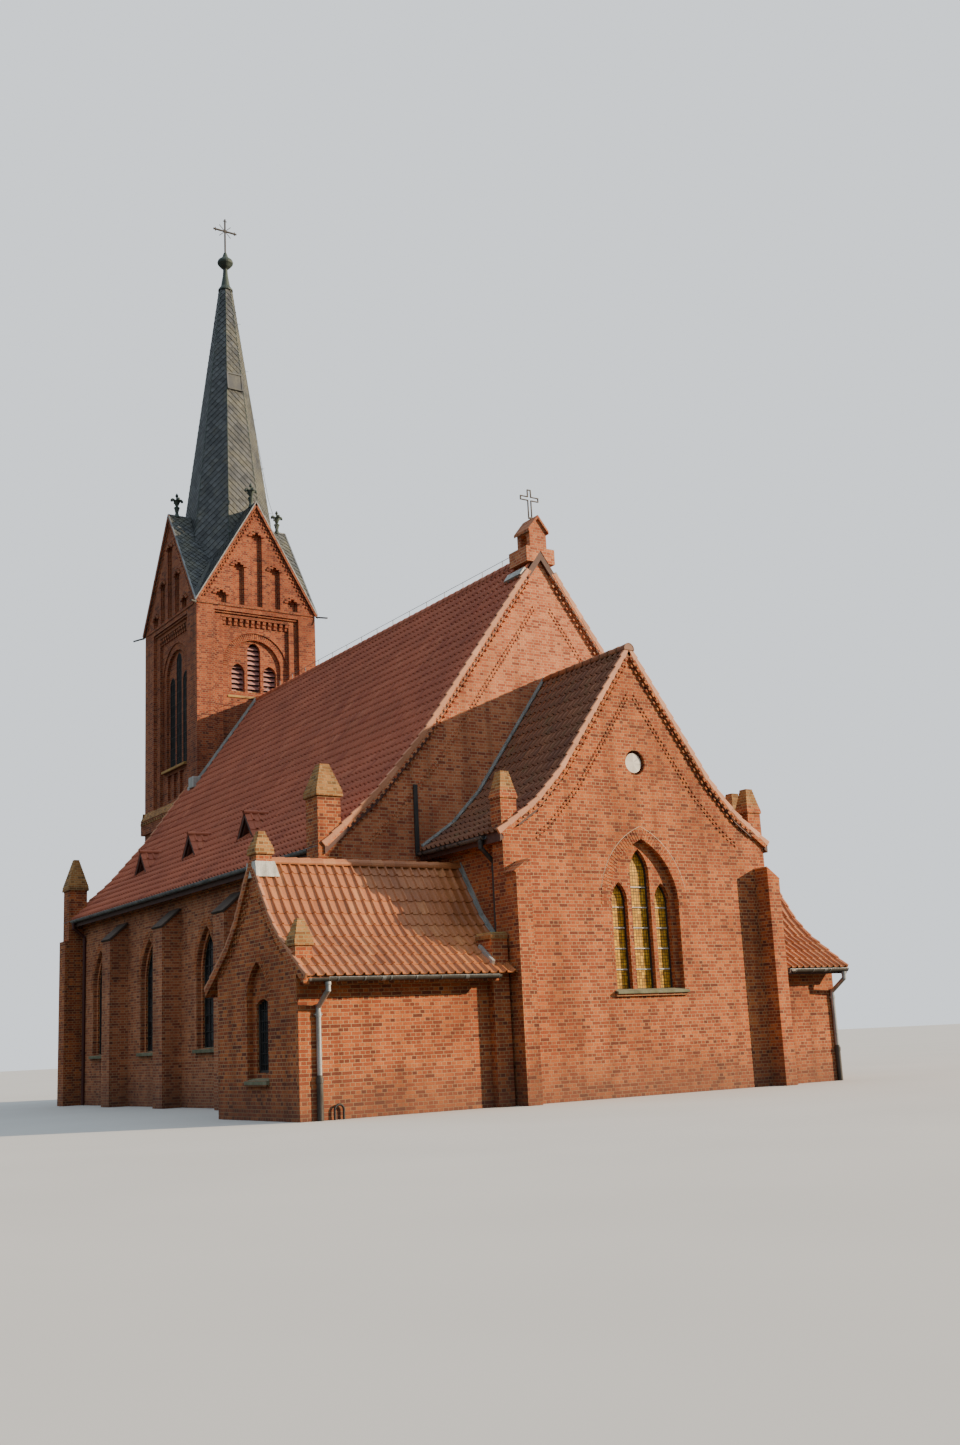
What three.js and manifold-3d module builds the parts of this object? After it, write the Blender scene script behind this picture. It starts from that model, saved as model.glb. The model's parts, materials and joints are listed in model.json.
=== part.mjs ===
// Brick village church with a west tower, built in millimetres with +Z up.
// Construction axes: X runs along the church, 0 at the east gable of the nave and negative towards
// the tower; Y = 0 is the axis of the church, negative to the south; Z = 0 is the ground.
// The finished group is shifted so that its origin is the centre of the footprint on the ground.

import * as THREE from 'three';
import { mergeVertices } from 'three/addons/utils/BufferGeometryUtils.js';
import Module from 'manifold-3d';

const wasm = await Module();
wasm.setup();

// Driving dimensions, in millimetres

const GAP = 0.3;
const BRICK_COURSE = 77;
const ARC_STEPS = 6;
const SKY = 40000;

// A roof profile lists [ distance from the ridge, height of the upper surface ] from ridge to eave

const NAVE = {
	west: - 18750, east: 0, half: 6300, wall: 550,
	profile: [ [ 0, 14100 ], [ 3800, 8870 ], [ 5200, 7280 ], [ 6650, 6000 ] ], roof: 260, verge: 90,
	bay: 4350, firstWindow: - 3400, windowCount: 4,
};
const NAVE_WINDOW = { half: 500, reveal: 720, sill: 1560, spring: 3550, apex: 4640, recess: 180 };
const NAVE_GLASS = { depth: 310, margin: 60, rebate: 40 };
const BUTTRESS = { width: 720, projection: 570, shoulder: 4950, top: 5450 };
const PIER = {
	size: 600, out: 500, westOut: 50, foot: 720, footTop: 5300, capHalf: 340, band: BRICK_COURSE,
	east: { shaftTop: 7110, tip: 7870, tipHalf: 100 },
	west: { shaftTop: 6980, tip: 8020, tipHalf: 65 },
};
const DORMER = {
	width: 1080, height: 720, front: 5300, spacing: 4100, first: - 7220, count: 3,
	mouth: 0.62, mouthSill: 40, mouthTop: 190, mouthDepth: 260, seat: 30,
};
const RIDGE_TILE = { half: 150, rise: 60 };

const SHRINE = {
	half: 270, west: - 560, east: 20, foot: 14180, eave: 14700, apex: 15040,
	baseHalf: 460, baseFoot: 13760, baseWest: - 720, baseEast: 100, sunk: 20,
	overhang: 60, roof: 85, nicheHalf: 150, nicheSill: 14240, nicheSpring: 14450, nicheApex: 14640,
};
const GABLE_CROSS = { top: 15960, armZ: 15700, armHalf: 300, barHalf: 62, depth: 40, strip: 22 };

const CHANCEL = {
	east: 3370, half: 3750, wall: 500,
	profile: [ [ 0, 10560 ], [ 2250, 7400 ], [ 3050, 6580 ], [ 4050, 5900 ] ], roof: 240, verge: 60,
};
const CHANCEL_WINDOW = { half: 1030, sill: 2330, spring: 4300, apex: 5860, recess: 150, mullion: 300 };
const CHANCEL_LIGHTS = [
	{ y: - 640, half: 230, spring: 4400, apex: 4850 },
	{ y: 0, half: 290, spring: 5050, apex: 5640 },
	{ y: 640, half: 230, spring: 4400, apex: 4850 },
];
const OCULUS = { z: 7700, radius: 300, disc: 240, recess: 140, proud: 70 };
const CHANCEL_PINNACLE = { half: 210, out: 200, shaftTop: 6650, capHalf: 235, band: 60, tip: 7270, tipHalf: 100 };
const END_BUTTRESS = { width: 380, projection: 460, shoulder: 4930, top: 5200 };

const ANNEX = {
	west: - 740, east: 3240, south: - 8960, north: 6100, wall: 400, ridgeX: 1200,
	profile: [ [ 0, 5390 ], [ 850, 4110 ], [ 1300, 3650 ], [ 2470, 2800 ] ], roof: 180, verge: 80,
};
const ANNEX_NICHE = { x: 1325, half: 520, sill: 800, spring: 2420, apex: 3220, recess: 130 };
const ANNEX_WINDOW = { x: 1330, half: 330, sill: 950, spring: 2330, apex: 2450, glassDepth: 230 };
const ANNEX_PIER = { west: 2840, east: 3450, south: - 4430, north: - 4020, shoulder: 3520, top: 3640, chamfer: 90 };
const APEX_PINNACLE = {
	x: 1250, y: - 8800, half: 180, foot: 4600, shaftTop: 5500, capHalf: 215, band: 60, tip: 5980, tipHalf: 50,
};
const CORNER_PINNACLE = {
	x: 3040, y: - 8800, half: 185, foot: 2300, shaftTop: 3420, capHalf: 210, band: 50, tip: 3940, tipHalf: 50,
};

const TOWER = {
	west: - 23050, east: - 17830, half: 2400, wall: 800,
	eave: 17590, gableApex: 21650, gableWall: 450, roof: 150, roofOut: 80, roofSkirt: 110, belfryFloor: 13900,
	shelfFoot: 9680, shelfLip: 10200, shelfTop: 10490, shelfOut: 120, flashing: 150,
};
const FIELD = { half: 1700, top: 17370, depth: 120 };
const PANEL = { half: 1340, top: 17150, depth: 220 };
const HOOD = { half: 1300, spring: 15380, apex: 16680, depth: 270 };
const TOWER_WINDOW = { half: 1040, spring: 15360, apex: 16420, depth: 360, mullion: 480 };
const TOWER_LIGHTS = [
	{ c: - 640, half: 260, spring: 15160, apex: 15490 },
	{ c: 0, half: 260, spring: 16005, apex: 16335 },
	{ c: 640, half: 260, spring: 15160, apex: 15490 },
];
const BELFRY_SILL = 14380;
const TALL_SILL = { top: 11900, height: 110, half: 1120, from: 120 };
const BLANK_PANEL = { half: 200, places: [ - 600, 0, 600 ], foot: 10720, top: 11680, depth: 310 };
const NICHES = [
	{ c: - 1450, top: 18150 }, { c: - 730, top: 19330 }, { c: 0, top: 20600 },
	{ c: 730, top: 19330 }, { c: 1450, top: 18150 },
];
const NICHE_STEPS = [ { half: 225, rise: 90, depth: 60 }, { half: 165, rise: 0, depth: 120 } ];
const NICHE = { sill: 17660, arch: 230 };
const WEST_DOOR = { half: 850, spring: 2100, apex: 3150, recess: 250, leaf: 70 };
const TOWER_ARCH = { half: 1200, spring: 2600, apex: 3900 };
const CHANCEL_ARCH = { half: 2400, spring: 3600, apex: 6100 };

const SPIRE = { base: 17590, top: 31930, baseHalf: 2070, topHalf: 240, shell: 160, solidTop: 400 };
const SPIRE_CAP = [
	[ 300, 0 ], [ 300, 60 ], [ 190, 220 ], [ 110, 700 ], [ 90, 1000 ], [ 200, 1100 ],
	[ 310, 1240 ], [ 325, 1310 ], [ 290, 1400 ], [ 130, 1540 ], [ 60, 1750 ],
];
const TOWER_CROSS = {
	top: 35230, armZ: 34680, armHalf: 510, bar: 28, ray: 250, rayRadius: 14,
	budIn: 90, bud: 80, budRadius: 20,
};
const FINIAL = {
	rise: 980, sunk: 60, armHalf: 230, armDrop: 260, bar: 24, insetX: 420, insetY: 280,
	collar: [ [ 110, 0 ], [ 60, 190 ], [ 95, 330 ], [ 95, 380 ], [ 40, 460 ] ],
};
const SPOUT = { start: 30, reach: 330, drop: 45, fall: 80, radius: 32 };
const LOUVRE = {
	first: 60, pitch: 190, lean: 50, reach: 130, board: 25, post: 350, postHalf: 35, sideOver: 60, belowApex: 120,
};

const GUTTER = { radius: 75, wall: 8, sides: 10, drop: 60 };
const DOWNPIPE = { radius: 50, neck: 190, bend: 480, lap: 30 };
const PANE = 30;
const SILL = { out: 70, height: 110, over: 40 };

// Materials, with the colours of the real surfaces

const material = ( color, roughness, metalness = 0 ) =>
	new THREE.MeshStandardMaterial( { color, roughness, metalness } );

const BRICK = material( 0xb25a3c, 0.9 );
const NAVE_TILE = material( 0x8c4a3a, 0.75 );
const ANNEX_TILE = material( 0xb9623f, 0.7 );
const SLATE = material( 0x3b4248, 0.55 );
const COPPER = material( 0x4f6f66, 0.6, 0.4 );
const ZINC = material( 0x9aa0a2, 0.45, 0.8 );
const IRON = material( 0x4a4a48, 0.6, 0.7 );
const GLASS = material( 0x2b3336, 0.15 );
const AMBER_GLASS = material( 0xb07d1c, 0.3 );
const PAINTED_BOARD = material( 0x8a4038, 0.7 );
const PAINTED_DISC = material( 0xe8e4d8, 0.6 );
const DOOR_WOOD = material( 0x4d3324, 0.7 );

const SIDES = [ [ 'south', - 1 ], [ 'north', 1 ] ];

// Solids: geometry in, joined and cut by a mesh library, geometry out

function solid( geometry ) {

	const bare = geometry.clone();
	bare.deleteAttribute( 'normal' );
	bare.deleteAttribute( 'uv' );
	const merged = mergeVertices( bare, 0.01 );
	return new wasm.Manifold( new wasm.Mesh( {
		numProp: 3,
		vertProperties: Float32Array.from( merged.attributes.position.array ),
		triVerts: Uint32Array.from( merged.index.array ),
	} ) );

}

function box( x0, x1, y0, y1, z0, z1 ) {

	const geometry = new THREE.BoxGeometry( x1 - x0, y1 - y0, z1 - z0 );
	geometry.translate( ( x0 + x1 ) / 2, ( y0 + y1 ) / 2, ( z0 + z1 ) / 2 );
	return solid( geometry );

}

function extrude( points, depth, matrix ) {

	const shape = new THREE.Shape( points.map( ( [ a, b ] ) => new THREE.Vector2( a, b ) ) );
	const geometry = new THREE.ExtrudeGeometry( shape, { depth, bevelEnabled: false } );
	geometry.applyMatrix4( matrix );
	return solid( geometry );

}

const AXIS_X = new THREE.Vector3( 1, 0, 0 );
const AXIS_Y = new THREE.Vector3( 0, 1, 0 );
const AXIS_Z = new THREE.Vector3( 0, 0, 1 );

// An outline of [ y, z ] points, extruded along X

function alongX( points, x0, x1 ) {

	const matrix = new THREE.Matrix4().makeBasis( AXIS_Y, AXIS_Z, AXIS_X ).setPosition( x0, 0, 0 );
	return extrude( points, x1 - x0, matrix );

}

// An outline of [ x, z ] points, extruded along Y

function alongY( points, y0, y1 ) {

	const matrix = new THREE.Matrix4().makeBasis( AXIS_X, AXIS_Z, AXIS_Y.clone().negate() ).setPosition( 0, y1, 0 );
	return extrude( points, y1 - y0, matrix );

}

// A frustum with flat sides: 4 for a pyramid on a pier, 8 for the spire; halves are across the flats

function frustum( sides, bottomHalf, topHalf, z0, z1, x = 0, y = 0 ) {

	const toCorner = 1 / Math.cos( Math.PI / sides );
	const top = Math.max( topHalf, 1 ) * toCorner;
	const geometry = new THREE.CylinderGeometry( top, bottomHalf * toCorner, z1 - z0, sides );
	geometry.rotateY( Math.PI / sides );
	geometry.rotateX( Math.PI / 2 );
	geometry.translate( x, y, ( z0 + z1 ) / 2 );
	return solid( geometry );

}

function rod( from, to, radius, sides = 8 ) {

	const start = new THREE.Vector3( ...from );
	const end = new THREE.Vector3( ...to );
	const geometry = new THREE.CylinderGeometry( radius, radius, start.distanceTo( end ), sides );
	const turn = new THREE.Quaternion().setFromUnitVectors( AXIS_Y, end.clone().sub( start ).normalize() );
	geometry.applyQuaternion( turn );
	geometry.translate( ...start.add( end ).multiplyScalar( 0.5 ).toArray() );
	return solid( geometry );

}

const join = ( pieces ) => pieces.reduce( ( whole, piece ) => whole.add( piece ) );
const cut = ( whole, pieces ) => pieces.reduce( ( rest, piece ) => rest.subtract( piece ), whole );

function toGeometry( manifold ) {

	const mesh = manifold.getMesh();
	const geometry = new THREE.BufferGeometry();
	const positions = new Float32Array( mesh.numVert * 3 );
	for ( let i = 0; i < mesh.numVert; i ++ ) {

		for ( let k = 0; k < 3; k ++ ) positions[ 3 * i + k ] = mesh.vertProperties[ mesh.numProp * i + k ];

	}

	geometry.setAttribute( 'position', new THREE.BufferAttribute( positions, 3 ) );
	geometry.setIndex( new THREE.BufferAttribute( Uint32Array.from( mesh.triVerts ), 1 ) );
	geometry.computeVertexNormals();
	return geometry;

}

const church = new THREE.Group();

function add( name, manifold, surface ) {

	const mesh = new THREE.Mesh( toGeometry( manifold ), surface );
	mesh.name = name;
	church.add( mesh );

}
// Outlines

// A pointed arch on upright jambs, as [ across, z ] points from the sill round to the sill

function lancet( centre, half, sill, spring, apex ) {

	const rise = apex - spring;
	const radius = ( half * half + rise * rise ) / ( 2 * half );
	const sweep = Math.asin( Math.min( 1, rise / radius ) );
	const points = [ [ centre - half, sill ], [ centre + half, sill ] ];
	for ( let i = 0; i <= ARC_STEPS; i ++ ) {

		const angle = sweep * i / ARC_STEPS;
		points.push( [ centre + half - radius + radius * Math.cos( angle ), spring + radius * Math.sin( angle ) ] );

	}

	for ( let i = ARC_STEPS - 1; i >= 0; i -- ) {

		const angle = sweep * i / ARC_STEPS;
		points.push( [ centre - half + radius - radius * Math.cos( angle ), spring + radius * Math.sin( angle ) ] );

	}

	return points;

}

// A shallow arch of one curve, as [ across, z ] points

function segmental( centre, half, sill, spring, apex ) {

	const rise = apex - spring;
	const radius = ( half * half + rise * rise ) / ( 2 * rise );
	const sweep = Math.asin( half / radius );
	const points = [ [ centre - half, sill ], [ centre + half, sill ] ];
	for ( let i = 0; i <= ARC_STEPS; i ++ ) {

		const angle = sweep * ( 1 - 2 * i / ARC_STEPS );
		points.push( [ centre + radius * Math.sin( angle ), apex - radius + radius * Math.cos( angle ) ] );

	}

	return points;

}

// The height of a roof's upper surface at a distance from its ridge

function roofHeight( profile, distance ) {

	for ( let i = 1; i < profile.length; i ++ ) {

		const [ near, high ] = profile[ i - 1 ];
		const [ far, low ] = profile[ i ];
		const last = i === profile.length - 1;
		if ( distance <= far || last ) return high - ( high - low ) * ( distance - near ) / ( far - near );

	}

}

// The distance from the ridge at which a roof's upper surface has a height

function roofDistance( profile, height ) {

	for ( let i = 1; i < profile.length; i ++ ) {

		const [ near, high ] = profile[ i - 1 ];
		const [ far, low ] = profile[ i ];
		if ( height >= low ) return near + ( far - near ) * ( high - height ) / ( high - low );

	}

}

// One slope of a roof as a slab outline; side is - 1 or 1

function slopeOutline( profile, thickness, side ) {

	const upper = profile.map( ( [ distance, z ] ) => [ side * Math.max( distance, GAP / 2 ), z ] );
	const lower = upper.map( ( [ across, z ] ) => [ across, z - thickness ] ).reverse();
	return [ ...upper, ...lower ];

}

// Both slopes of a roof as one slab, centre the ridge's place across

function doubleSlope( profile, thickness, centre = 0 ) {

	const west = profile.map( ( [ distance, z ] ) => [ centre - distance, z ] ).reverse();
	const east = profile.slice( 1 ).map( ( [ distance, z ] ) => [ centre + distance, z ] );
	const upper = [ ...west, ...east ];
	return [ ...upper, ...upper.map( ( [ across, z ] ) => [ across, z - thickness ] ).reverse() ];

}

// A gable wall's outline that ends just under the slabs, between two offsets from the ridge

function gableOutline( profile, thickness, low, high, centre = 0 ) {

	const under = ( offset ) => roofHeight( profile, Math.abs( offset ) ) - thickness - GAP;
	const kinks = profile.flatMap( ( [ distance ] ) => ( distance > 0 ? [ - distance, distance ] : [ 0 ] ) );
	const edge = [ low, ...kinks.filter( ( v ) => v > low && v < high ), high ].sort( ( a, b ) => b - a );
	return [ [ centre + low, 0 ], [ centre + high, 0 ], ...edge.map( ( v ) => [ centre + v, under( v ) ] ) ];

}

// A long wall whose top follows the slab over it

function eaveWallOutline( profile, thickness, outer, wall, side, centre = 0 ) {

	const under = ( distance ) => roofHeight( profile, distance ) - thickness - GAP;
	const inner = outer - wall;
	const breaks = profile.map( ( [ distance ] ) => distance ).filter( ( v ) => v > inner && v < outer );
	const top = [ inner, ...breaks, outer ].map( ( v ) => [ centre + side * v, under( v ) ] );
	return [ [ centre + side * outer, 0 ], [ centre + side * inner, 0 ], ...top ];

}

// Lays a box on either long side, from distances out from the axis

const sideBox = ( side, x0, x1, near, far, z0, z1 ) =>
	box( x0, x1, Math.min( side * near, side * far ), Math.max( side * near, side * far ), z0, z1 );

const sideLancet = ( side, outline, near, far ) =>
	alongY( outline, Math.min( side * near, side * far ), Math.max( side * near, side * far ) );

// Ridge tiles: a low inverted V over the joint of two slopes

function ridgeCap( profile, centre, from, to, along ) {

	const { half, rise } = RIDGE_TILE;
	const ridge = profile[ 0 ][ 1 ] + GAP;
	const edge = roofHeight( profile, half ) + GAP;
	return along( [
		[ centre - half, edge ], [ centre, ridge ], [ centre + half, edge ],
		[ centre + half, edge + rise ], [ centre, ridge + rise ], [ centre - half, edge + rise ],
	], from, to );

}

// A square pinnacle: shaft, projecting band and truncated cap; grow enlarges it to make room for it

function pinnacle( { x, y, half, foot = 0, shaftTop, capHalf, band, tip, tipHalf }, grow = 0 ) {

	const h = half + grow;
	const c = capHalf + grow;
	const t = tipHalf + grow;
	return join( [
		box( x - h, x + h, y - h, y + h, foot - grow, shaftTop ),
		box( x - c, x + c, y - c, y + c, shaftTop - grow, shaftTop + band ),
		frustum( 4, c, t, shaftTop + band, tip + grow, x, y ),
	] );

}

// Nave walls with lancet windows, sills and buttresses

const windowCentres = [];
for ( let i = 0; i < NAVE.windowCount; i ++ ) windowCentres.push( NAVE.firstWindow - NAVE.bay * i );
const buttressCentres = windowCentres.slice( 0, - 1 ).map( ( x ) => x - NAVE.bay / 2 );

const pierIn = PIER.size - PIER.westOut;
const pierY = NAVE.half + PIER.out - PIER.size;
const glassNear = NAVE.half - NAVE_GLASS.depth - PANE;
const glassFar = NAVE.half - NAVE_GLASS.depth;
const glassWest = Math.min( ...windowCentres ) - NAVE_WINDOW.half - NAVE_GLASS.margin;
const glassEast = Math.max( ...windowCentres ) + NAVE_WINDOW.half + NAVE_GLASS.margin;
const glassFoot = NAVE_WINDOW.sill - NAVE_GLASS.rebate;
const glassTop = NAVE_WINDOW.apex + NAVE_GLASS.rebate;
const BEDDED = 5;

function naveButtress( x, side ) {

	const face = NAVE.half - BEDDED;
	const out = NAVE.half + BUTTRESS.projection;
	const outline = [
		[ side * face, 0 ], [ side * out, 0 ], [ side * out, BUTTRESS.shoulder ], [ side * face, BUTTRESS.top ],
	];
	return alongX( outline, x - BUTTRESS.width / 2, x + BUTTRESS.width / 2 );

}

function naveWindow( x, side ) {

	const { half, reveal, sill, spring, apex, recess } = NAVE_WINDOW;
	return [
		sideLancet( side, lancet( x, half, sill, spring, apex ), 0, NAVE.half ),
		sideLancet( side, lancet( x, reveal, sill, spring, apex + reveal - half ), NAVE.half - recess, NAVE.half ),
	];

}

function naveSill( x, side ) {

	const reach = NAVE_WINDOW.reveal + SILL.over;
	return sideBox( side, x - reach, x + reach, NAVE.half - NAVE_WINDOW.recess, NAVE.half + SILL.out,
		NAVE_WINDOW.sill - SILL.height, NAVE_WINDOW.sill );

}

for ( const [ label, side ] of SIDES ) {

	const outline = eaveWallOutline( NAVE.profile, NAVE.roof, NAVE.half, NAVE.wall, side );
	const wall = alongX( outline, NAVE.west + pierIn + GAP, NAVE.east - pierIn - GAP );
	const openings = windowCentres.flatMap( ( x ) => naveWindow( x, side ) );
	const slot = sideBox( side, glassWest, glassEast, glassNear - GAP, glassFar + GAP, glassFoot, glassTop );
	const sills = windowCentres.map( ( x ) => naveSill( x, side ) );
	const buttresses = buttressCentres.map( ( x ) => naveButtress( x, side ) );
	const pane = sideBox( side, glassWest + GAP, glassEast - GAP, glassNear, glassFar, glassFoot + GAP, glassTop - GAP );
	add( `nave_${ label }_wall`, join( [ cut( wall, [ ...openings, slot ] ), ...buttresses, ...sills ] ), BRICK );
	add( `nave_${ label }_glass`, pane, GLASS );

}

// Gable wall of the nave, open below to the chancel, and its west walls each side of the tower

const naveGable = alongX( gableOutline( NAVE.profile, NAVE.roof, - pierY + GAP, pierY - GAP ), - NAVE.wall, 0 );
const chancelArch = alongX(
	lancet( 0, CHANCEL_ARCH.half, 0, CHANCEL_ARCH.spring, CHANCEL_ARCH.apex ), - NAVE.wall, 0 );
add( 'nave_east_gable', cut( naveGable, [ chancelArch ] ), BRICK );

for ( const [ label, side ] of SIDES ) {

	const low = side < 0 ? - pierY + GAP : TOWER.half + GAP;
	const high = side < 0 ? - TOWER.half - GAP : pierY - GAP;
	const outline = gableOutline( NAVE.profile, NAVE.roof, low, high );
	add( `nave_west_wall_${ label }`, alongX( outline, NAVE.west, NAVE.west + NAVE.wall ), BRICK );

}

// Corner piers with truncated pyramid caps, on thicker feet

const pierWest = ( sideX ) => ( sideX > 0 ? NAVE.east - pierIn : NAVE.west - PIER.westOut );
const pierSouth = ( sideY ) => ( sideY > 0 ? pierY : - pierY - PIER.size );

function cornerPier( sideX, sideY ) {

	const x0 = pierWest( sideX );
	const half = PIER.size / 2;
	const heights = sideX > 0 ? PIER.east : PIER.west;
	const place = { x: x0 + half, y: pierSouth( sideY ) + half, half, capHalf: PIER.capHalf, band: PIER.band };
	const foot = sideBox( sideY, x0, x0 + PIER.size, pierY, pierY + PIER.foot, 0, PIER.footTop );
	return join( [ pinnacle( { ...place, ...heights } ), foot ] );

}

function pierClearance( sideX, sideY ) {

	const x0 = pierWest( sideX );
	const y0 = pierSouth( sideY );
	return box( x0 - GAP, x0 + PIER.size + GAP, y0 - GAP, y0 + PIER.size + GAP, 0, SKY );

}

for ( const [ label, sideY ] of SIDES ) {

	add( `nave_${ label }east_pier`, cornerPier( 1, sideY ), BRICK );
	add( `nave_${ label }west_pier`, cornerPier( - 1, sideY ), BRICK );

}

// Dormers: a small open triangle with a tiled roof of its own, standing on the slope

function dormer( x, side ) {

	const foot = roofHeight( NAVE.profile, DORMER.front ) + GAP;
	const ridge = foot + DORMER.height;
	const back = roofDistance( NAVE.profile, ridge );
	const half = DORMER.width / 2;
	const mouth = half * DORMER.mouth;
	const sill = foot + DORMER.mouthSill;
	const shell = sideLancet( side, [ [ x - half, foot ], [ x + half, foot ], [ x, ridge ] ], back, DORMER.front );
	const hollow = sideLancet( side, [ [ x - mouth, sill ], [ x + mouth, sill ], [ x, ridge - DORMER.mouthTop ] ],
		DORMER.front - DORMER.mouthDepth, DORMER.front );
	const slope = NAVE.profile.map( ( [ distance, z ] ) => [ side * distance, z - DORMER.seat ] );
	const eave = side * NAVE.profile.at( - 1 )[ 0 ];
	const below = alongX( [ ...slope, [ eave, 0 ], [ 0, 0 ] ], x - DORMER.width, x + DORMER.width );
	return cut( shell, [ hollow, below ] );

}

// Nave roof, notched round the tower and the corner piers

const towerNotch = box( TOWER.west, TOWER.east + GAP, - TOWER.half - GAP, TOWER.half + GAP, 0, SKY );
for ( const [ label, side ] of SIDES ) {

	const outline = slopeOutline( NAVE.profile, NAVE.roof, side );
	const slab = alongX( outline, NAVE.west - NAVE.verge, NAVE.east + NAVE.verge );
	const notches = [ towerNotch, pierClearance( 1, side ), pierClearance( - 1, side ) ];
	const dormers = [];
	for ( let i = 0; i < DORMER.count; i ++ ) dormers.push( dormer( DORMER.first - DORMER.spacing * i, side ) );
	add( `nave_roof_${ label }`, join( [ cut( slab, notches ), ...dormers ] ), NAVE_TILE );

}

add( 'nave_ridge_tiles', ridgeCap( NAVE.profile, 0, TOWER.east + GAP, SHRINE.baseWest - GAP, alongX ), NAVE_TILE );

// The small gabled shrine on the nave's east gable, and its cross

const ridgeSeat = 3000;
const seatZ = roofHeight( NAVE.profile, ridgeSeat ) + GAP;
const shrineSeat = alongX( [
	[ - ridgeSeat, 0 ], [ ridgeSeat, 0 ], [ ridgeSeat, seatZ ],
	[ 0, NAVE.profile[ 0 ][ 1 ] + GAP ], [ - ridgeSeat, seatZ ],
], SHRINE.baseWest - 10, SHRINE.baseEast + 10 );
const shrineBase = box( SHRINE.baseWest, SHRINE.baseEast, - SHRINE.baseHalf, SHRINE.baseHalf,
	SHRINE.baseFoot, SHRINE.foot );
const houseFoot = SHRINE.foot - SHRINE.sunk;
const shrineHouse = alongX( [
	[ - SHRINE.half, houseFoot ], [ SHRINE.half, houseFoot ], [ SHRINE.half, SHRINE.eave ],
	[ 0, SHRINE.apex ], [ - SHRINE.half, SHRINE.eave ],
], SHRINE.west, SHRINE.east );
const shrineSteep = ( SHRINE.apex - SHRINE.eave ) / SHRINE.half;
const shrineEdge = SHRINE.half + SHRINE.overhang;
const shrineLow = SHRINE.apex - shrineSteep * shrineEdge - BEDDED;
const shrineHigh = SHRINE.apex + SHRINE.roof - BEDDED;
const shrineRoof = alongX( [
	[ - shrineEdge, shrineLow ], [ 0, SHRINE.apex - BEDDED ], [ shrineEdge, shrineLow ],
	[ shrineEdge, shrineLow + SHRINE.roof ], [ 0, shrineHigh ], [ - shrineEdge, shrineLow + SHRINE.roof ],
], SHRINE.west - SHRINE.overhang, SHRINE.east + SHRINE.overhang );
const shrineMid = ( SHRINE.west + SHRINE.east ) / 2;
const shrineNiche = alongY(
	lancet( shrineMid, SHRINE.nicheHalf, SHRINE.nicheSill, SHRINE.nicheSpring, SHRINE.nicheApex ),
	- SHRINE.baseHalf, SHRINE.baseHalf );
add( 'gable_shrine', cut( join( [ shrineBase, shrineHouse, shrineRoof ] ), [ shrineNiche, shrineSeat ] ), BRICK );

// A flat cross of strips round an open middle

function outlineCross( x, foot ) {

	const { top, armZ, armHalf, barHalf, depth, strip } = GABLE_CROSS;
	const ring = ( inset ) => {

		const bar = barHalf - inset;
		const arm = armHalf - inset;
		const low = foot + 2 * inset;
		const high = top - inset;
		return alongX( [
			[ - bar, low ], [ bar, low ], [ bar, armZ - bar ], [ arm, armZ - bar ],
			[ arm, armZ + bar ], [ bar, armZ + bar ], [ bar, high ], [ - bar, high ],
			[ - bar, armZ + bar ], [ - arm, armZ + bar ], [ - arm, armZ - bar ], [ - bar, armZ - bar ],
		], x - depth / 2, x + depth / 2 );

	};

	return cut( ring( 0 ), [ ring( strip ) ] );

}

add( 'gable_cross', outlineCross( shrineMid, shrineHigh + GAP ), IRON );

// Chancel walls, gable with its window, corner pinnacles with end buttresses, roof

const pinnacleSize = 2 * CHANCEL_PINNACLE.half;
const pinnacleY = CHANCEL.half + CHANCEL_PINNACLE.out - pinnacleSize;
const gableHalf = pinnacleY - GAP;
const gableBack = CHANCEL.east - CHANCEL.wall;
const gableRoom = box( gableBack - GAP, CHANCEL.east, - pinnacleY, pinnacleY, 0, SKY );
for ( const [ label, side ] of SIDES ) {

	const outline = eaveWallOutline( CHANCEL.profile, CHANCEL.roof, CHANCEL.half, CHANCEL.wall, side );
	const wall = alongX( outline, GAP, CHANCEL.east - pinnacleSize - GAP );
	add( `chancel_${ label }_wall`, cut( wall, [ gableRoom ] ), BRICK );

}

const { half: windowHalf, sill: windowSill, spring: windowSpring, apex: windowApex } = CHANCEL_WINDOW;
const windowOutline = lancet( 0, windowHalf, windowSill, windowSpring, windowApex );
const mullionBack = CHANCEL.east - CHANCEL_WINDOW.mullion;
const chancelCuts = [
	...CHANCEL_LIGHTS.map( ( { y, half, spring, apex } ) =>
		alongX( lancet( y, half, windowSill, spring, apex ), gableBack - 10, CHANCEL.east ) ),
	alongX( windowOutline, CHANCEL.east - CHANCEL_WINDOW.recess, CHANCEL.east + 10 ),
	alongX( windowOutline, gableBack - 10, mullionBack ),
	rod( [ CHANCEL.east - OCULUS.recess, 0, OCULUS.z ], [ CHANCEL.east + 10, 0, OCULUS.z ], OCULUS.radius, 24 ),
];
const chancelSillReach = windowHalf + SILL.over;
const chancelSill = box( mullionBack, CHANCEL.east + SILL.out, - chancelSillReach, chancelSillReach,
	windowSill - SILL.height, windowSill );
const chancelGable = alongX(
	gableOutline( CHANCEL.profile, CHANCEL.roof, - gableHalf, gableHalf ), gableBack, CHANCEL.east );
add( 'chancel_east_gable', join( [ cut( chancelGable, chancelCuts ), chancelSill ] ), BRICK );

add( 'oculus_disc', rod(
	[ CHANCEL.east - OCULUS.recess + GAP, 0, OCULUS.z ], [ CHANCEL.east - OCULUS.proud, 0, OCULUS.z ], OCULUS.disc, 24 ),
PAINTED_DISC );

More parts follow.
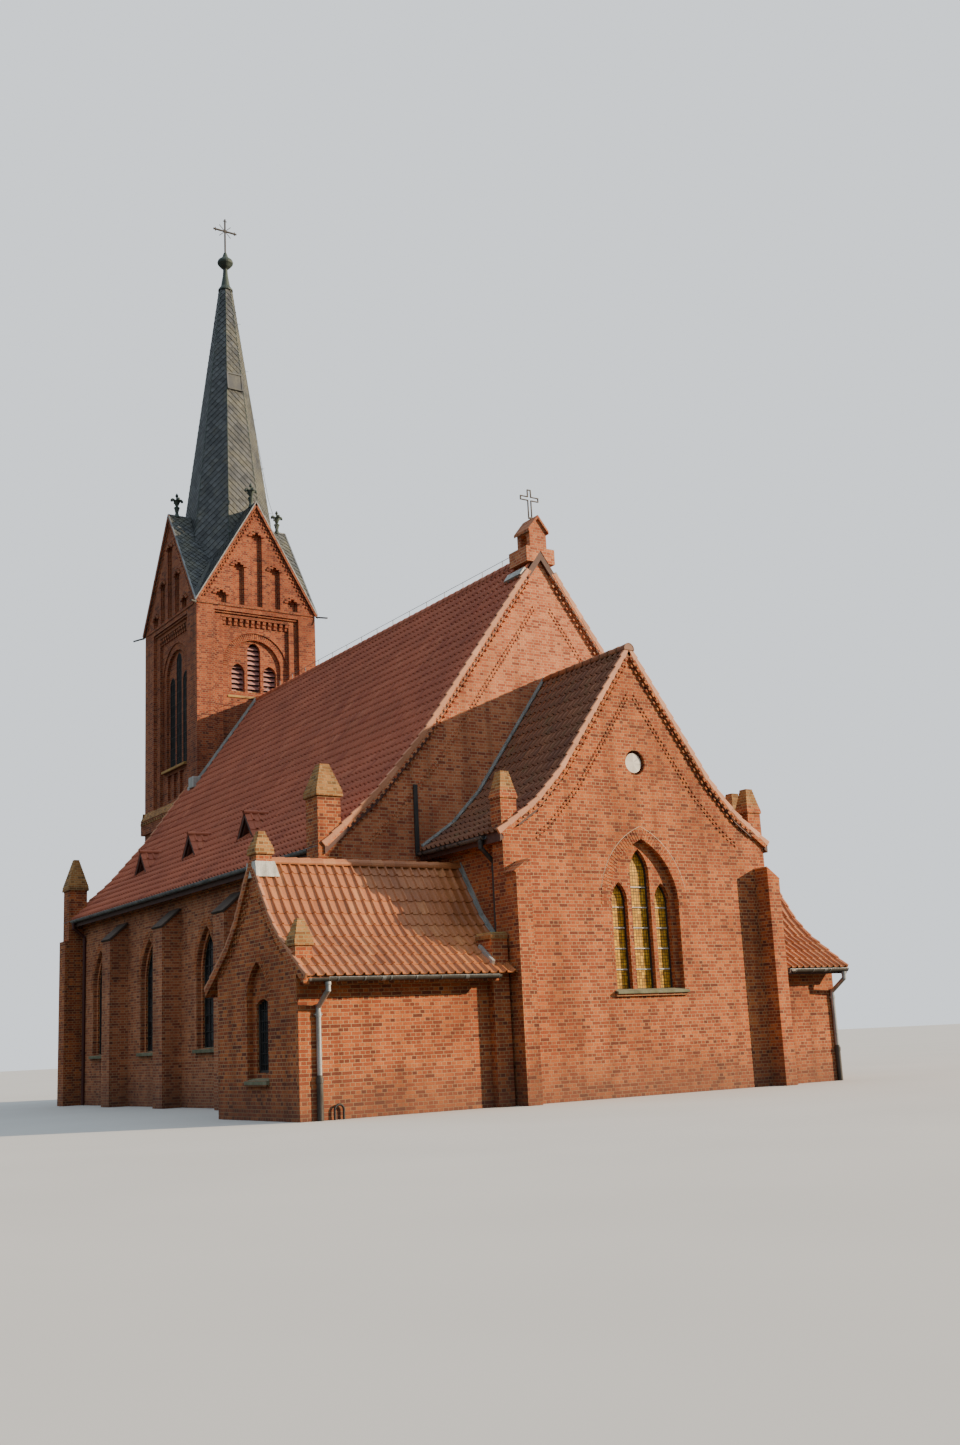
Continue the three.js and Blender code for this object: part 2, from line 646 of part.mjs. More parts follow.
add( 'chancel_window_glass', alongX(
	lancet( 0, windowHalf - GAP, windowSill + GAP, windowSpring, windowApex - 1 ),
	mullionBack - GAP - PANE, mullionBack - GAP ), AMBER_GLASS );

for ( const [ label, side ] of SIDES ) {

	const x = CHANCEL.east - CHANCEL_PINNACLE.half;
	const y = side * ( pinnacleY + CHANCEL_PINNACLE.half );
	const face = CHANCEL.east + GAP;
	const out = CHANCEL.east + END_BUTTRESS.projection;
	const outer = side * ( pinnacleY + pinnacleSize );
	const inner = outer - side * END_BUTTRESS.width;
	const outline = [ [ outer, 0 ], [ inner, 0 ], [ inner, END_BUTTRESS.top ], [ outer, END_BUTTRESS.shoulder ] ];
	const corner = sideBox( side, CHANCEL.east - 20, face + 20, Math.abs( inner ), Math.abs( outer ),
		0, END_BUTTRESS.shoulder );
	const pieces = [ pinnacle( { ...CHANCEL_PINNACLE, x, y } ), alongX( outline, face, out ), corner ];
	add( `chancel_${ label }east_pinnacle`, join( pieces ), BRICK );

}

const pinnacleRoom = ( side ) => sideBox( side,
	CHANCEL.east - pinnacleSize - GAP, CHANCEL.east + END_BUTTRESS.projection,
	pinnacleY - GAP, pinnacleY + pinnacleSize + GAP, 0, SKY );

const chancelSlab = alongX( doubleSlope( CHANCEL.profile, CHANCEL.roof ), GAP, CHANCEL.east + CHANCEL.verge );
add( 'chancel_roof', cut( chancelSlab, [ pinnacleRoom( - 1 ), pinnacleRoom( 1 ) ] ), NAVE_TILE );
add( 'chancel_ridge_tiles', ridgeCap( CHANCEL.profile, 0, GAP, CHANCEL.east + CHANCEL.verge, alongX ), NAVE_TILE );

// South annex, with a gable to the south, and the short north annex

const nicheCut = alongY(
	lancet( ANNEX_NICHE.x, ANNEX_NICHE.half, ANNEX_NICHE.sill, ANNEX_NICHE.spring, ANNEX_NICHE.apex ),
	ANNEX.south - 10, ANNEX.south + ANNEX_NICHE.recess );
const annexLight = ( inset ) => segmental( ANNEX_WINDOW.x, ANNEX_WINDOW.half - inset, ANNEX_WINDOW.sill + inset,
	ANNEX_WINDOW.spring, ANNEX_WINDOW.apex - inset );
const annexWindowCut = alongY( annexLight( 0 ), ANNEX.south, ANNEX.south + ANNEX.wall + 10 );
const annexGable = ( west ) => gableOutline( ANNEX.profile, ANNEX.roof, west - ANNEX.ridgeX,
	ANNEX.east - ANNEX.ridgeX, ANNEX.ridgeX );
const southGable = alongY( annexGable( ANNEX.west ), ANNEX.south, ANNEX.south + ANNEX.wall );
const annexSillReach = ANNEX_NICHE.half + SILL.over / 2;
const annexSill = box( ANNEX_NICHE.x - annexSillReach, ANNEX_NICHE.x + annexSillReach, ANNEX.south - SILL.out,
	ANNEX.south + ANNEX_NICHE.recess, ANNEX_NICHE.sill - SILL.height, ANNEX_NICHE.sill );
add( 'annex_south_gable', join( [
	cut( southGable, [ nicheCut, annexWindowCut ] ), annexSill, pinnacle( APEX_PINNACLE ), pinnacle( CORNER_PINNACLE ),
] ), BRICK );
const annexPane = ANNEX.south + ANNEX_WINDOW.glassDepth;
add( 'annex_window_glass', alongY( annexLight( GAP ), annexPane, annexPane + PANE ), GLASS );

const annexInner = ANNEX.south + ANNEX.wall + GAP;
const annexWall = ( outer, side ) =>
	eaveWallOutline( ANNEX.profile, ANNEX.roof, outer, ANNEX.wall, side, ANNEX.ridgeX );
const eastOutline = annexWall( ANNEX.east - ANNEX.ridgeX, 1 );
const westOutline = annexWall( ANNEX.ridgeX - ANNEX.west, - 1 );
const apexRoom = pinnacle( APEX_PINNACLE, GAP );
const cornerRoom = pinnacle( CORNER_PINNACLE, GAP );
add( 'annex_west_wall', alongY( westOutline, annexInner, - pierY - PIER.foot - GAP ), BRICK );

const annexPier = alongY( [
	[ ANNEX_PIER.west, 0 ], [ ANNEX_PIER.east, 0 ], [ ANNEX_PIER.east, ANNEX_PIER.shoulder ],
	[ ANNEX_PIER.east - ANNEX_PIER.chamfer, ANNEX_PIER.top ], [ ANNEX_PIER.west, ANNEX_PIER.top ],
], ANNEX_PIER.south, ANNEX_PIER.north );
const annexEast = cut( alongY( eastOutline, annexInner, ANNEX_PIER.south + 1 ), [ cornerRoom ] );
add( 'annex_east_wall', join( [ annexEast, annexPier ] ), BRICK );

// The roofs give way to the piers, the chancel, the corner of the nave and the pinnacles

const FAR = 9000;
const chancelRoom = box( - FAR, FAR, - CHANCEL.half - GAP, CHANCEL.half + GAP, 0, SKY );
const naveRoom = box( - FAR, NAVE.east + NAVE.verge + GAP, - NAVE.half - 100, NAVE.half + 100, 0, SKY );
const pierRoom = box( ANNEX_PIER.west - GAP, FAR, ANNEX_PIER.south - GAP, - CHANCEL.half, 0, SKY );
const footRoom = ( side ) => sideBox( side, NAVE.east - pierIn - GAP, NAVE.east + PIER.westOut + GAP,
	pierY - 500, pierY + PIER.foot + GAP, 0, SKY );
const roofLimit = CHANCEL.half + GAP;

const annexSlopes = doubleSlope( ANNEX.profile, ANNEX.roof, ANNEX.ridgeX );
const annexSlab = alongY( annexSlopes, ANNEX.south - ANNEX.verge, - roofLimit );
const annexRooms = [ pierRoom, chancelRoom, naveRoom, footRoom( - 1 ), apexRoom, cornerRoom ];
add( 'annex_roof', cut( annexSlab, annexRooms ), ANNEX_TILE );
const annexRidgeSouth = APEX_PINNACLE.y + APEX_PINNACLE.capHalf + 2 * GAP;
add( 'annex_ridge_tiles', ridgeCap( ANNEX.profile, ANNEX.ridgeX, annexRidgeSouth, - roofLimit, alongY ), ANNEX_TILE );

const northInner = ANNEX.north - ANNEX.wall;
const northGable = alongY( annexGable( NAVE.east + GAP ), northInner, ANNEX.north );
const northWall = alongY( eastOutline, CHANCEL.half + CHANCEL_PINNACLE.out + GAP, northInner + 1 );
add( 'north_annex_walls', join( [ northGable, northWall ] ), BRICK );
const northSlab = alongY( annexSlopes, roofLimit, ANNEX.north + ANNEX.verge );
add( 'north_annex_roof', cut( northSlab, [ naveRoom, footRoom( 1 ), pinnacleRoom( 1 ) ] ), ANNEX_TILE );

// Tower: one hollow shaft with four gables, split into its four walls

const towerMidX = ( TOWER.west + TOWER.east ) / 2;
const towerHalfX = ( TOWER.east - TOWER.west ) / 2;
const innerHalfY = TOWER.half - TOWER.wall;
const innerWest = TOWER.west + TOWER.wall;
const innerEast = TOWER.east - TOWER.wall;

// The weathered shelf round the tower where it stands free of the nave

const { shelfFoot, shelfLip, shelfTop } = TOWER;
const shelfHalf = TOWER.half + TOWER.shelfOut;
const shelfWest = TOWER.west - TOWER.shelfOut;
const shelfEast = NAVE.west - GAP;
const shelfAcross = alongX( [
	[ - shelfHalf, shelfFoot ], [ shelfHalf, shelfFoot ], [ shelfHalf, shelfLip ],
	[ TOWER.half, shelfTop ], [ - TOWER.half, shelfTop ], [ - shelfHalf, shelfLip ],
], shelfWest, shelfEast );
const shelfAlong = alongY( [
	[ shelfWest, shelfFoot ], [ shelfEast, shelfFoot ], [ shelfEast, shelfTop ],
	[ TOWER.west, shelfTop ], [ shelfWest, shelfLip ],
], - shelfHalf, shelfHalf );

const shaft = box( TOWER.west, TOWER.east, - TOWER.half, TOWER.half, 0, TOWER.eave );
const gableX = ( x0, x1 ) => alongX( [
	[ - TOWER.half, TOWER.eave - 1 ], [ TOWER.half, TOWER.eave - 1 ], [ TOWER.half, TOWER.eave ],
	[ 0, TOWER.gableApex ], [ - TOWER.half, TOWER.eave ],
], x0, x1 );
const gableY = ( y0, y1 ) => alongY( [
	[ TOWER.west, TOWER.eave - 1 ], [ TOWER.east, TOWER.eave - 1 ], [ TOWER.east, TOWER.eave ],
	[ towerMidX, TOWER.gableApex ], [ TOWER.west, TOWER.eave ],
], y0, y1 );

const facing = {
	east: { along: alongX, face: TOWER.east, inner: innerEast, centre: 0 },
	west: { along: alongX, face: TOWER.west, inner: innerWest, centre: 0 },
	south: { along: alongY, face: - TOWER.half, inner: - innerHalfY, centre: towerMidX },
	north: { along: alongY, face: TOWER.half, inner: innerHalfY, centre: towerMidX },
};

// A cut from outside a face to a depth, or from one depth to another

function through( side, outline, to = TOWER.wall + 10, from = - 10 ) {

	const { along, face, inner } = facing[ side ];
	const outward = Math.sign( face - inner );
	const start = face - from * outward;
	const end = face - to * outward;
	return along( outline, Math.min( start, end ), Math.max( start, end ) );

}

// A flat recess up to a height, its foot on the shelf or, on the east, over the nave's ridge

function recessOutline( side, { half, top } ) {

	const { centre } = facing[ side ];
	const rim = [ [ centre + half, top ], [ centre - half, top ] ];
	if ( side !== 'east' ) return [ [ centre - half, shelfTop ], [ centre + half, shelfTop ], ...rim ];
	const foot = roofHeight( NAVE.profile, half ) + TOWER.flashing;
	const ridge = NAVE.profile[ 0 ][ 1 ] + TOWER.flashing;
	return [ [ - half, foot ], [ 0, ridge ], [ half, foot ], ...rim ];

}

// Two stepped fields, the hood's sunk ring, the window's recess with three lights, and the gable's niches

function faceCuts( side ) {

	const { centre } = facing[ side ];
	const sill = side === 'east' ? BELFRY_SILL : TALL_SILL.top;
	const arch = ( { half, spring, apex } ) => lancet( centre, half, sill, spring, apex );
	const lights = TOWER_LIGHTS.map( ( { c, half, spring, apex } ) =>
		through( side, lancet( centre + c, half, sill, spring, apex ) ) );
	const niches = NICHES.flatMap( ( { c, top } ) => NICHE_STEPS.map( ( { half, rise, depth } ) =>
		through( side, lancet( centre + c, half, NICHE.sill, top - NICHE.arch, top + rise ), depth ) ) );
	const cuts = [
		through( side, recessOutline( side, FIELD ), FIELD.depth ),
		through( side, recessOutline( side, PANEL ), PANEL.depth ),
		through( side, arch( HOOD ), HOOD.depth ),
		through( side, arch( TOWER_WINDOW ), TOWER_WINDOW.depth ),
		through( side, arch( TOWER_WINDOW ), TOWER.wall + 10, TOWER_WINDOW.mullion ),
		...lights, ...niches,
	];
	if ( side === 'east' ) return cuts;

	const { half, places, foot, top, depth } = BLANK_PANEL;
	const blanks = places.map( ( c ) => through( side, [
		[ centre + c - half, foot ], [ centre + c + half, foot ], [ centre + c + half, top ], [ centre + c - half, top ],
	], depth ) );
	return [ ...cuts, ...blanks ];

}

// The ledge under a tall window

function tallSill( side ) {

	const { centre } = facing[ side ];
	const { top, height, half, from } = TALL_SILL;
	return through( side, [
		[ centre - half, top - height ], [ centre + half, top - height ], [ centre + half, top ], [ centre - half, top ],
	], TOWER_WINDOW.mullion, from );

}

const doorCut = through( 'west', lancet( 0, WEST_DOOR.half, 0, WEST_DOOR.spring, WEST_DOOR.apex ) );
const archCut = through( 'east', lancet( 0, TOWER_ARCH.half, 0, TOWER_ARCH.spring, TOWER_ARCH.apex ) );
const hollow = box( innerWest, innerEast, - innerHalfY, innerHalfY, 0, TOWER.gableApex );
const towerSolid = cut( join( [
	shelfAcross.intersect( shelfAlong ), shaft,
	gableX( TOWER.east - TOWER.gableWall, TOWER.east ), gableX( TOWER.west, TOWER.west + TOWER.gableWall ),
	gableY( - TOWER.half, - TOWER.half + TOWER.gableWall ), gableY( TOWER.half - TOWER.gableWall, TOWER.half ),
] ), [ hollow, doorCut, archCut, ...Object.keys( facing ).flatMap( faceCuts ) ] );
const towerBody = join( [ towerSolid, ...[ 'south', 'north', 'west' ].map( tallSill ) ] );

// Each face is a wall of its own. The east one is laid in three lifts: up to the belfry, the belfry's stage in
// an outer leaf and an inner one that holds the lights, and the gable

const split = innerHalfY - GAP / 2;
const outerX = [ TOWER.west - 500, TOWER.east + 500 ];
const leafX = TOWER.east - ( HOOD.depth + TOWER_WINDOW.depth ) / 2;
const eastLift = ( z0, z1, x0 = towerMidX, x1 = outerX[ 1 ] ) => box( x0, x1, - split, split, z0, z1 );
const regions = {
	tower_east_wall: eastLift( - 10, TOWER.belfryFloor ),
	tower_belfry_wall: eastLift( TOWER.belfryFloor + GAP, TOWER.eave, leafX ),
	tower_belfry_inner_wall: eastLift( TOWER.belfryFloor + GAP, TOWER.eave, towerMidX, leafX - GAP ),
	tower_east_gable: eastLift( TOWER.eave + GAP, SKY ),
	tower_west_wall: box( outerX[ 0 ], towerMidX, - split, split, - 10, SKY ),
	tower_south_wall: box( ...outerX, - TOWER.half - 500, - innerHalfY - GAP / 2, - 10, SKY ),
	tower_north_wall: box( ...outerX, innerHalfY + GAP / 2, TOWER.half + 500, - 10, SKY ),
};
for ( const [ name, region ] of Object.entries( regions ) ) add( name, towerBody.intersect( region ), BRICK );

// Louvres of the belfry, glass of the tall windows and the west door

const louvreX = TOWER.east - TOWER_WINDOW.mullion - GAP;

function louvreFrame() {

	const { first, pitch, lean, reach, board, post, postHalf, sideOver, belowApex } = LOUVRE;
	const [ side, middle ] = TOWER_LIGHTS;
	const back = louvreX - reach;
	const top = middle.apex - belowApex;
	const pieces = [];
	for ( let z = BELFRY_SILL + first; z < top; z += pitch ) {

		const profile = [
			[ back, z + lean ], [ louvreX, z - lean ], [ louvreX, z - lean + board ], [ back, z + lean + board ],
		];
		const wide = z < side.apex ? Math.abs( side.c ) + side.half + sideOver : post + postHalf;
		pieces.push( alongY( profile, - wide, wide ) );

	}

	for ( const y of [ - post, post ] ) {

		pieces.push( box( back, louvreX - reach / 2, y - postHalf, y + postHalf, BELFRY_SILL + GAP, top ) );

	}

	return join( pieces );

}

add( 'belfry_louvres', louvreFrame(), PAINTED_BOARD );

for ( const side of [ 'south', 'north', 'west' ] ) {

	const { half, spring, apex, mullion } = TOWER_WINDOW;
	const outline = lancet( facing[ side ].centre, half - GAP, TALL_SILL.top + GAP, spring, apex - 1 );
	add( `tower_${ side }_glass`, through( side, outline, mullion + GAP + PANE, mullion + GAP ), GLASS );

}

const doorFace = TOWER.west + WEST_DOOR.recess;
add( 'west_door', alongX(
	lancet( 0, WEST_DOOR.half - GAP, GAP, WEST_DOOR.spring, WEST_DOOR.apex - 1 ), doorFace, doorFace + WEST_DOOR.leaf ),
DOOR_WOOD );

// Four small slate roofs over the tower gables, crossing, with the spire standing over them

const steepY = ( TOWER.gableApex - TOWER.eave ) / TOWER.half;
const steepX = ( TOWER.gableApex - TOWER.eave ) / towerHalfX;

// The solid under two crossing gabled roofs, raised and grown from the gables' own line

function crossRoof( rise, out, floor = TOWER.eave - 400 ) {

	const halfY = TOWER.half + out;
	const halfX = towerHalfX + out;
	const top = TOWER.gableApex + rise;
	const lowY = top - steepY * halfY;
	const lowX = top - steepX * halfX;
	return join( [
		alongX( [ [ - halfY, floor ], [ halfY, floor ], [ halfY, lowY ], [ 0, top ], [ - halfY, lowY ] ],
			TOWER.west - out, TOWER.east + out ),
		alongY( [
			[ towerMidX - halfX, floor ], [ towerMidX + halfX, floor ], [ towerMidX + halfX, lowX ],
			[ towerMidX, top ], [ towerMidX - halfX, lowX ],
		], - TOWER.half - out, TOWER.half + out ),
	] );

}

// The spaces under each pair of slopes, carried out past the verges

const PAST = 900;
const underX = alongX( [
	[ - TOWER.half - PAST, TOWER.eave - PAST * steepY + GAP ], [ TOWER.half + PAST, TOWER.eave - PAST * steepY + GAP ],
	[ 0, TOWER.gableApex + GAP ],
], TOWER.west - PAST, TOWER.east + PAST );
const underY = alongY( [
	[ TOWER.west - PAST, TOWER.eave - PAST * steepX + GAP ], [ TOWER.east + PAST, TOWER.eave - PAST * steepX + GAP ],
	[ towerMidX, TOWER.gableApex + GAP ],
], - TOWER.half - PAST, TOWER.half + PAST );
const towerRoom = ( top ) => box( TOWER.west - GAP, TOWER.east + GAP, - TOWER.half - GAP, TOWER.half + GAP, 0, top );
const skirt = box( ...outerX, - TOWER.half - 500, TOWER.half + 500, 0, TOWER.eave - TOWER.roofSkirt );
const gableRoofs = cut( crossRoof( TOWER.roof, TOWER.roofOut ),
	[ skirt, towerRoom( TOWER.eave + GAP ), underX, underY ] );

const spouts = [ - 1, 1 ].flatMap( ( sx ) => [ - 1, 1 ].map( ( sy ) => {

	const x = towerMidX + sx * ( towerHalfX + SPOUT.start );
	const y = sy * ( TOWER.half + SPOUT.start );
	const z = TOWER.eave - SPOUT.drop;
	return rod( [ x, y, z ], [ x + sx * SPOUT.reach, y + sy * SPOUT.reach, z - SPOUT.fall ], SPOUT.radius );

} ) );
add( 'tower_gable_roofs', join( [ gableRoofs, cut( join( spouts ), [ towerRoom( SKY ) ] ) ] ), SLATE );

const roofSeat = crossRoof( TOWER.roof + GAP, TOWER.roofOut + GAP );
const spireOuter = frustum( 8, SPIRE.baseHalf, SPIRE.topHalf, SPIRE.base, SPIRE.top, towerMidX, 0 );
const spireInner = frustum( 8, SPIRE.baseHalf - SPIRE.shell, SPIRE.topHalf - SPIRE.shell,
	SPIRE.base - 1, SPIRE.top - SPIRE.solidTop, towerMidX, 0 );
add( 'spire', cut( spireOuter, [ spireInner, roofSeat ] ), SLATE );

// Copper cone and ball, cross and finials

function lathe( points, x, y, z, sides = 20 ) {

	const closed = [ [ 0, points[ 0 ][ 1 ] ], ...points, [ 0, points.at( - 1 )[ 1 ] ] ];
	const geometry = new THREE.LatheGeometry( closed.map( ( [ r, h ] ) => new THREE.Vector2( r, h ) ), sides );
	geometry.rotateX( Math.PI / 2 );
	geometry.translate( x, y, z );
	return solid( geometry );

}

add( 'spire_copper_cap', lathe( SPIRE_CAP, towerMidX, 0, SPIRE.top + GAP ), COPPER );

function crossOnSpire() {

	const { top, armZ, armHalf, bar, ray, rayRadius, budIn, bud, budRadius } = TOWER_CROSS;
	const foot = SPIRE.top + SPIRE_CAP.at( - 1 )[ 1 ] + 2 * GAP;
	const x = towerMidX;
	const pieces = [
		box( x - bar, x + bar, - bar, bar, foot, top ),
		box( x - bar, x + bar, - armHalf, armHalf, armZ - bar, armZ + bar ),
		rod( [ x, - bud, top - budIn ], [ x, bud, top - budIn ], budRadius, 6 ),
	];
	for ( const s of [ - 1, 1 ] ) {

		const y = s * ( armHalf - budIn );
		pieces.push( rod( [ x, y, armZ - bud ], [ x, y, armZ + bud ], budRadius, 6 ) );
		for ( const t of [ - 1, 1 ] ) pieces.push( rod( [ x, 0, armZ ], [ x, s * ray, armZ + t * ray ], rayRadius, 6 ) );

	}

	return join( pieces );

}

add( 'tower_cross', crossOnSpire(), IRON );

function finial( x, y ) {

	const { rise, sunk, armHalf, armDrop, bar, collar } = FINIAL;
	const foot = TOWER.gableApex + TOWER.roof - sunk;
	const stem = box( x - bar, x + bar, y - bar, y + bar, foot, foot + rise );
	const [ ax, ay ] = Math.abs( y ) > 1 ? [ armHalf, 0 ] : [ 0, armHalf ];
	const armZ = foot + rise - armDrop;
	const arm = rod( [ x - ax, y - ay, armZ ], [ x + ax, y + ay, armZ ], bar, 6 );
	return cut( join( [ stem, lathe( collar, x, y, foot, 12 ), arm ] ), [ roofSeat ] );

}

const finialPlaces = {
	east: [ TOWER.east - FINIAL.insetX, 0 ], west: [ TOWER.west + FINIAL.insetX, 0 ],
	south: [ towerMidX, - TOWER.half + FINIAL.insetY ], north: [ towerMidX, TOWER.half - FINIAL.insetY ],
};
for ( const [ side, place ] of Object.entries( finialPlaces ) ) {

	add( `tower_finial_${ side }`, finial( ...place ), COPPER );

}

// Gutters and downpipes

function trough( across, z, from, to, along ) {

	const { radius, wall, sides } = GUTTER;
	const arc = ( r ) => Array.from( { length: sides + 1 }, ( _, i ) => {

		const angle = Math.PI + Math.PI * i / sides;
		return [ across + r * Math.cos( angle ), z + r * Math.sin( angle ) ];

	} );
	return along( [ ...arc( radius ), ...arc( radius - wall ).reverse() ], from, to );

}

const hang = GUTTER.radius + GAP;
const pipeOff = DOWNPIPE.radius + GAP;
const underTrough = GUTTER.radius - GUTTER.wall / 2;

// A pipe from a trough's bottom back to the wall and down

function downpipe( [ tx, ty, tz ], [ wx, wy ], foot ) {

	const { radius, neck, bend, lap } = DOWNPIPE;
	return join( [
		rod( [ tx, ty, tz ], [ tx, ty, tz - neck ], radius ),
		rod( [ tx, ty, tz - neck + lap ], [ wx, wy, tz - bend ], radius ),
		rod( [ wx, wy, tz - bend + 2 * lap ], [ wx, wy, foot ], radius ),
	] );

}

const eaveOf = ( { profile } ) => ( { out: profile.at( - 1 )[ 0 ] + hang, z: profile.at( - 1 )[ 1 ] - GUTTER.drop } );
const naveEave = eaveOf( NAVE );
const chancelEave = eaveOf( CHANCEL );
const annexEave = eaveOf( ANNEX );
const navePipeX = NAVE.west + PIER.size + 200;
const chancelPipeX = CHANCEL.east - 620;
const chancelPipeFoot = roofHeight( ANNEX.profile, chancelPipeX - pipeOff - ANNEX.ridgeX ) + 10;

for ( const [ label, side ] of SIDES ) {

	const naveY = side * naveEave.out;
	const naveTrough = trough( naveY, naveEave.z, NAVE.west + PIER.size + 60, NAVE.east - PIER.size, alongX );
	const navePipe = downpipe( [ navePipeX, naveY, naveEave.z - underTrough ],
		[ navePipeX, side * ( NAVE.half + pipeOff ) ], 0 );
	add( `nave_${ label }_gutter`, join( [ naveTrough, navePipe ] ), ZINC );

	const chancelY = side * chancelEave.out;
	const chancelTrough = trough( chancelY, chancelEave.z, NAVE.verge + 20, CHANCEL.east - pinnacleSize - 60, alongX );
	const chancelPipe = downpipe( [ chancelPipeX, chancelY, chancelEave.z - underTrough ],
		[ chancelPipeX, side * ( CHANCEL.half + pipeOff ) ], chancelPipeFoot );
	add( `chancel_${ label }_gutter`, join( [ chancelTrough, chancelPipe ] ), ZINC );

}

const annexTroughX = ANNEX.ridgeX + annexEave.out;
const annexGutters = [
	{ label: 'south', pipe: ANNEX.south + 420, from: ANNEX.south + 40, to: ANNEX_PIER.south - 10 },
	{ label: 'north', pipe: ANNEX.north - 120, from: CHANCEL.half + 500, to: ANNEX.north },
];
for ( const { label, pipe, from, to } of annexGutters ) {

	const run = trough( annexTroughX, annexEave.z, from, to, alongY );
	const fall = downpipe( [ annexTroughX, pipe, annexEave.z - underTrough ], [ ANNEX.east + pipeOff, pipe ], 0 );
	add( `annex_${ label }_gutter`, join( [ run, fall ] ), ZINC );

}

// Shift the footprint's centre to the origin

const bounds = new THREE.Box3().setFromObject( church );
church.position.set( - ( bounds.min.x + bounds.max.x ) / 2, - ( bounds.min.y + bounds.max.y ) / 2, 0 );

export default church;
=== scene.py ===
"""Village church in brick with a west tower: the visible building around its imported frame.

Sizes are metres. Pieces are modelled on the church's own axes: X runs along the church, 0 at the
nave's east gable and negative towards the tower; Y = 0 is the church's axis, negative to the south;
Z = 0 is the ground. hand_over() moves each finished piece to the frame's origin.
"""

import sys
import json
import logging
import math
from contextlib import contextmanager
from dataclasses import dataclass
from enum import Enum
from typing import Callable, Iterator, Sequence

import bmesh
import bpy
from mathutils import Matrix, Vector


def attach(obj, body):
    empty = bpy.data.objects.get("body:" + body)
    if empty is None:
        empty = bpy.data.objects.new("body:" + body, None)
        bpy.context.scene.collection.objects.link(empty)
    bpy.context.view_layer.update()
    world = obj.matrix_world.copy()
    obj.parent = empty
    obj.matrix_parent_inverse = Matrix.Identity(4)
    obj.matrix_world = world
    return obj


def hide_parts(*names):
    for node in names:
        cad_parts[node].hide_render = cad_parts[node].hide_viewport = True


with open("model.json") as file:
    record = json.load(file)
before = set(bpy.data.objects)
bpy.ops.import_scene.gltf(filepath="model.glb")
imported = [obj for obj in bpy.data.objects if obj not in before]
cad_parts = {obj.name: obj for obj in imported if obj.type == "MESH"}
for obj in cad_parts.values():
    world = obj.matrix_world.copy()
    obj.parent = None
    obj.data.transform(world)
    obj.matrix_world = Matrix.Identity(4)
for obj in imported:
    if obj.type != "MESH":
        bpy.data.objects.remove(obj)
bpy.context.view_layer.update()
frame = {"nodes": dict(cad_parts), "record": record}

# Where the church's own axes stand in the frame
SITE_X, SITE_Y = 9.80142, 1.06
SITE = Vector((SITE_X, SITE_Y, 0.0))
BRICK_COURSE = 0.077
BRICK_LENGTH = 0.24
# A distance from the ridge that is past every eave
TO_EAVE = 99.0
PHOTO_WIDTH = 960
SENSOR_WIDTH = 36.0

Piece = bpy.types.Object
Tree = bpy.types.NodeTree
Node = bpy.types.Node
Socket = bpy.types.NodeSocket
Stop = tuple[float, str]
Box = tuple[Sequence[float], Sequence[float]]
Test = Callable[[Vector, Vector], bool]
log = logging.getLogger("church")


class Facing(Enum):
    """The side of the sky that a wall or a slope looks to, as a turn from the south."""

    SOUTH = 0.0
    EAST = 90.0
    NORTH = 180.0
    WEST = 270.0

    def frame(self, x: float, y: float, z: float = 0.0) -> Matrix:
        """Places a wall's own axes: X across, -Y out of the wall, Z up.

        Args:
            x: Where the wall's origin is along the church.
            y: Where it is across the church.
            z: Its height.

        Returns:
            The matrix from the wall's axes to the church's.
        """
        return Matrix.Translation((x, y, z)) @ Matrix.Rotation(math.radians(self.value), 4, "Z")


# The bench: how pieces are added, shaped, repeated and joined


def put_down() -> None:
    """Leaves edit mode and deselects everything."""
    if bpy.context.mode != "OBJECT":
        bpy.ops.object.mode_set(mode="OBJECT")
    bpy.ops.object.select_all(action="DESELECT")


def take(*pieces: Piece) -> None:
    """Selects only these pieces, the first of them active."""
    put_down()
    for piece in pieces:
        piece.select_set(True)
    bpy.context.view_layer.objects.active = pieces[0]


def settle(name: str) -> Piece:
    """Names the piece just added and puts its place into its mesh.

    Args:
        name: The piece's name.

    Returns:
        The piece, with its object at the origin.
    """
    piece = bpy.context.active_object
    piece.name = name
    piece.data.name = name
    bpy.ops.object.transform_apply(location=True, rotation=True, scale=True)
    return piece


def block(low: Sequence[float], high: Sequence[float], name: str = "block") -> Piece:
    """Adds a block between two corners.

    Args:
        low: Its lowest corner.
        high: Its highest corner.
        name: The piece's name.

    Returns:
        The new piece.
    """
    put_down()
    a, b = Vector(low), Vector(high)
    bpy.ops.mesh.primitive_cube_add(size=1, location=(a + b) / 2, scale=b - a)
    return settle(name)


def rod(
    start: Sequence[float], end: Sequence[float], radius: float, sides: int = 8, name: str = "rod"
) -> Piece:
    """Adds a round rod between two points.

    Args:
        start: The middle of one end.
        end: The middle of the other.
        radius: Its radius.
        sides: How many sides it has.
        name: The piece's name.

    Returns:
        The new piece.
    """
    put_down()
    a, b = Vector(start), Vector(end)
    turn = (b - a).to_track_quat("Z", "Y").to_euler()
    bpy.ops.mesh.primitive_cylinder_add(
        vertices=sides, radius=radius, depth=(b - a).length, location=(a + b) / 2, rotation=turn
    )
    return settle(name)


@contextmanager
def shaping(piece: Piece) -> Iterator[None]:
    """Opens a piece in edit mode with nothing selected, and closes it again.

    Args:
        piece: The piece to shape.

    Yields:
        Nothing: the operators act on the open piece.
    """
    take(piece)
    bpy.ops.object.mode_set(mode="EDIT")
    bpy.ops.mesh.select_all(action="DESELECT")
    yield
    bpy.ops.object.mode_set(mode="OBJECT")


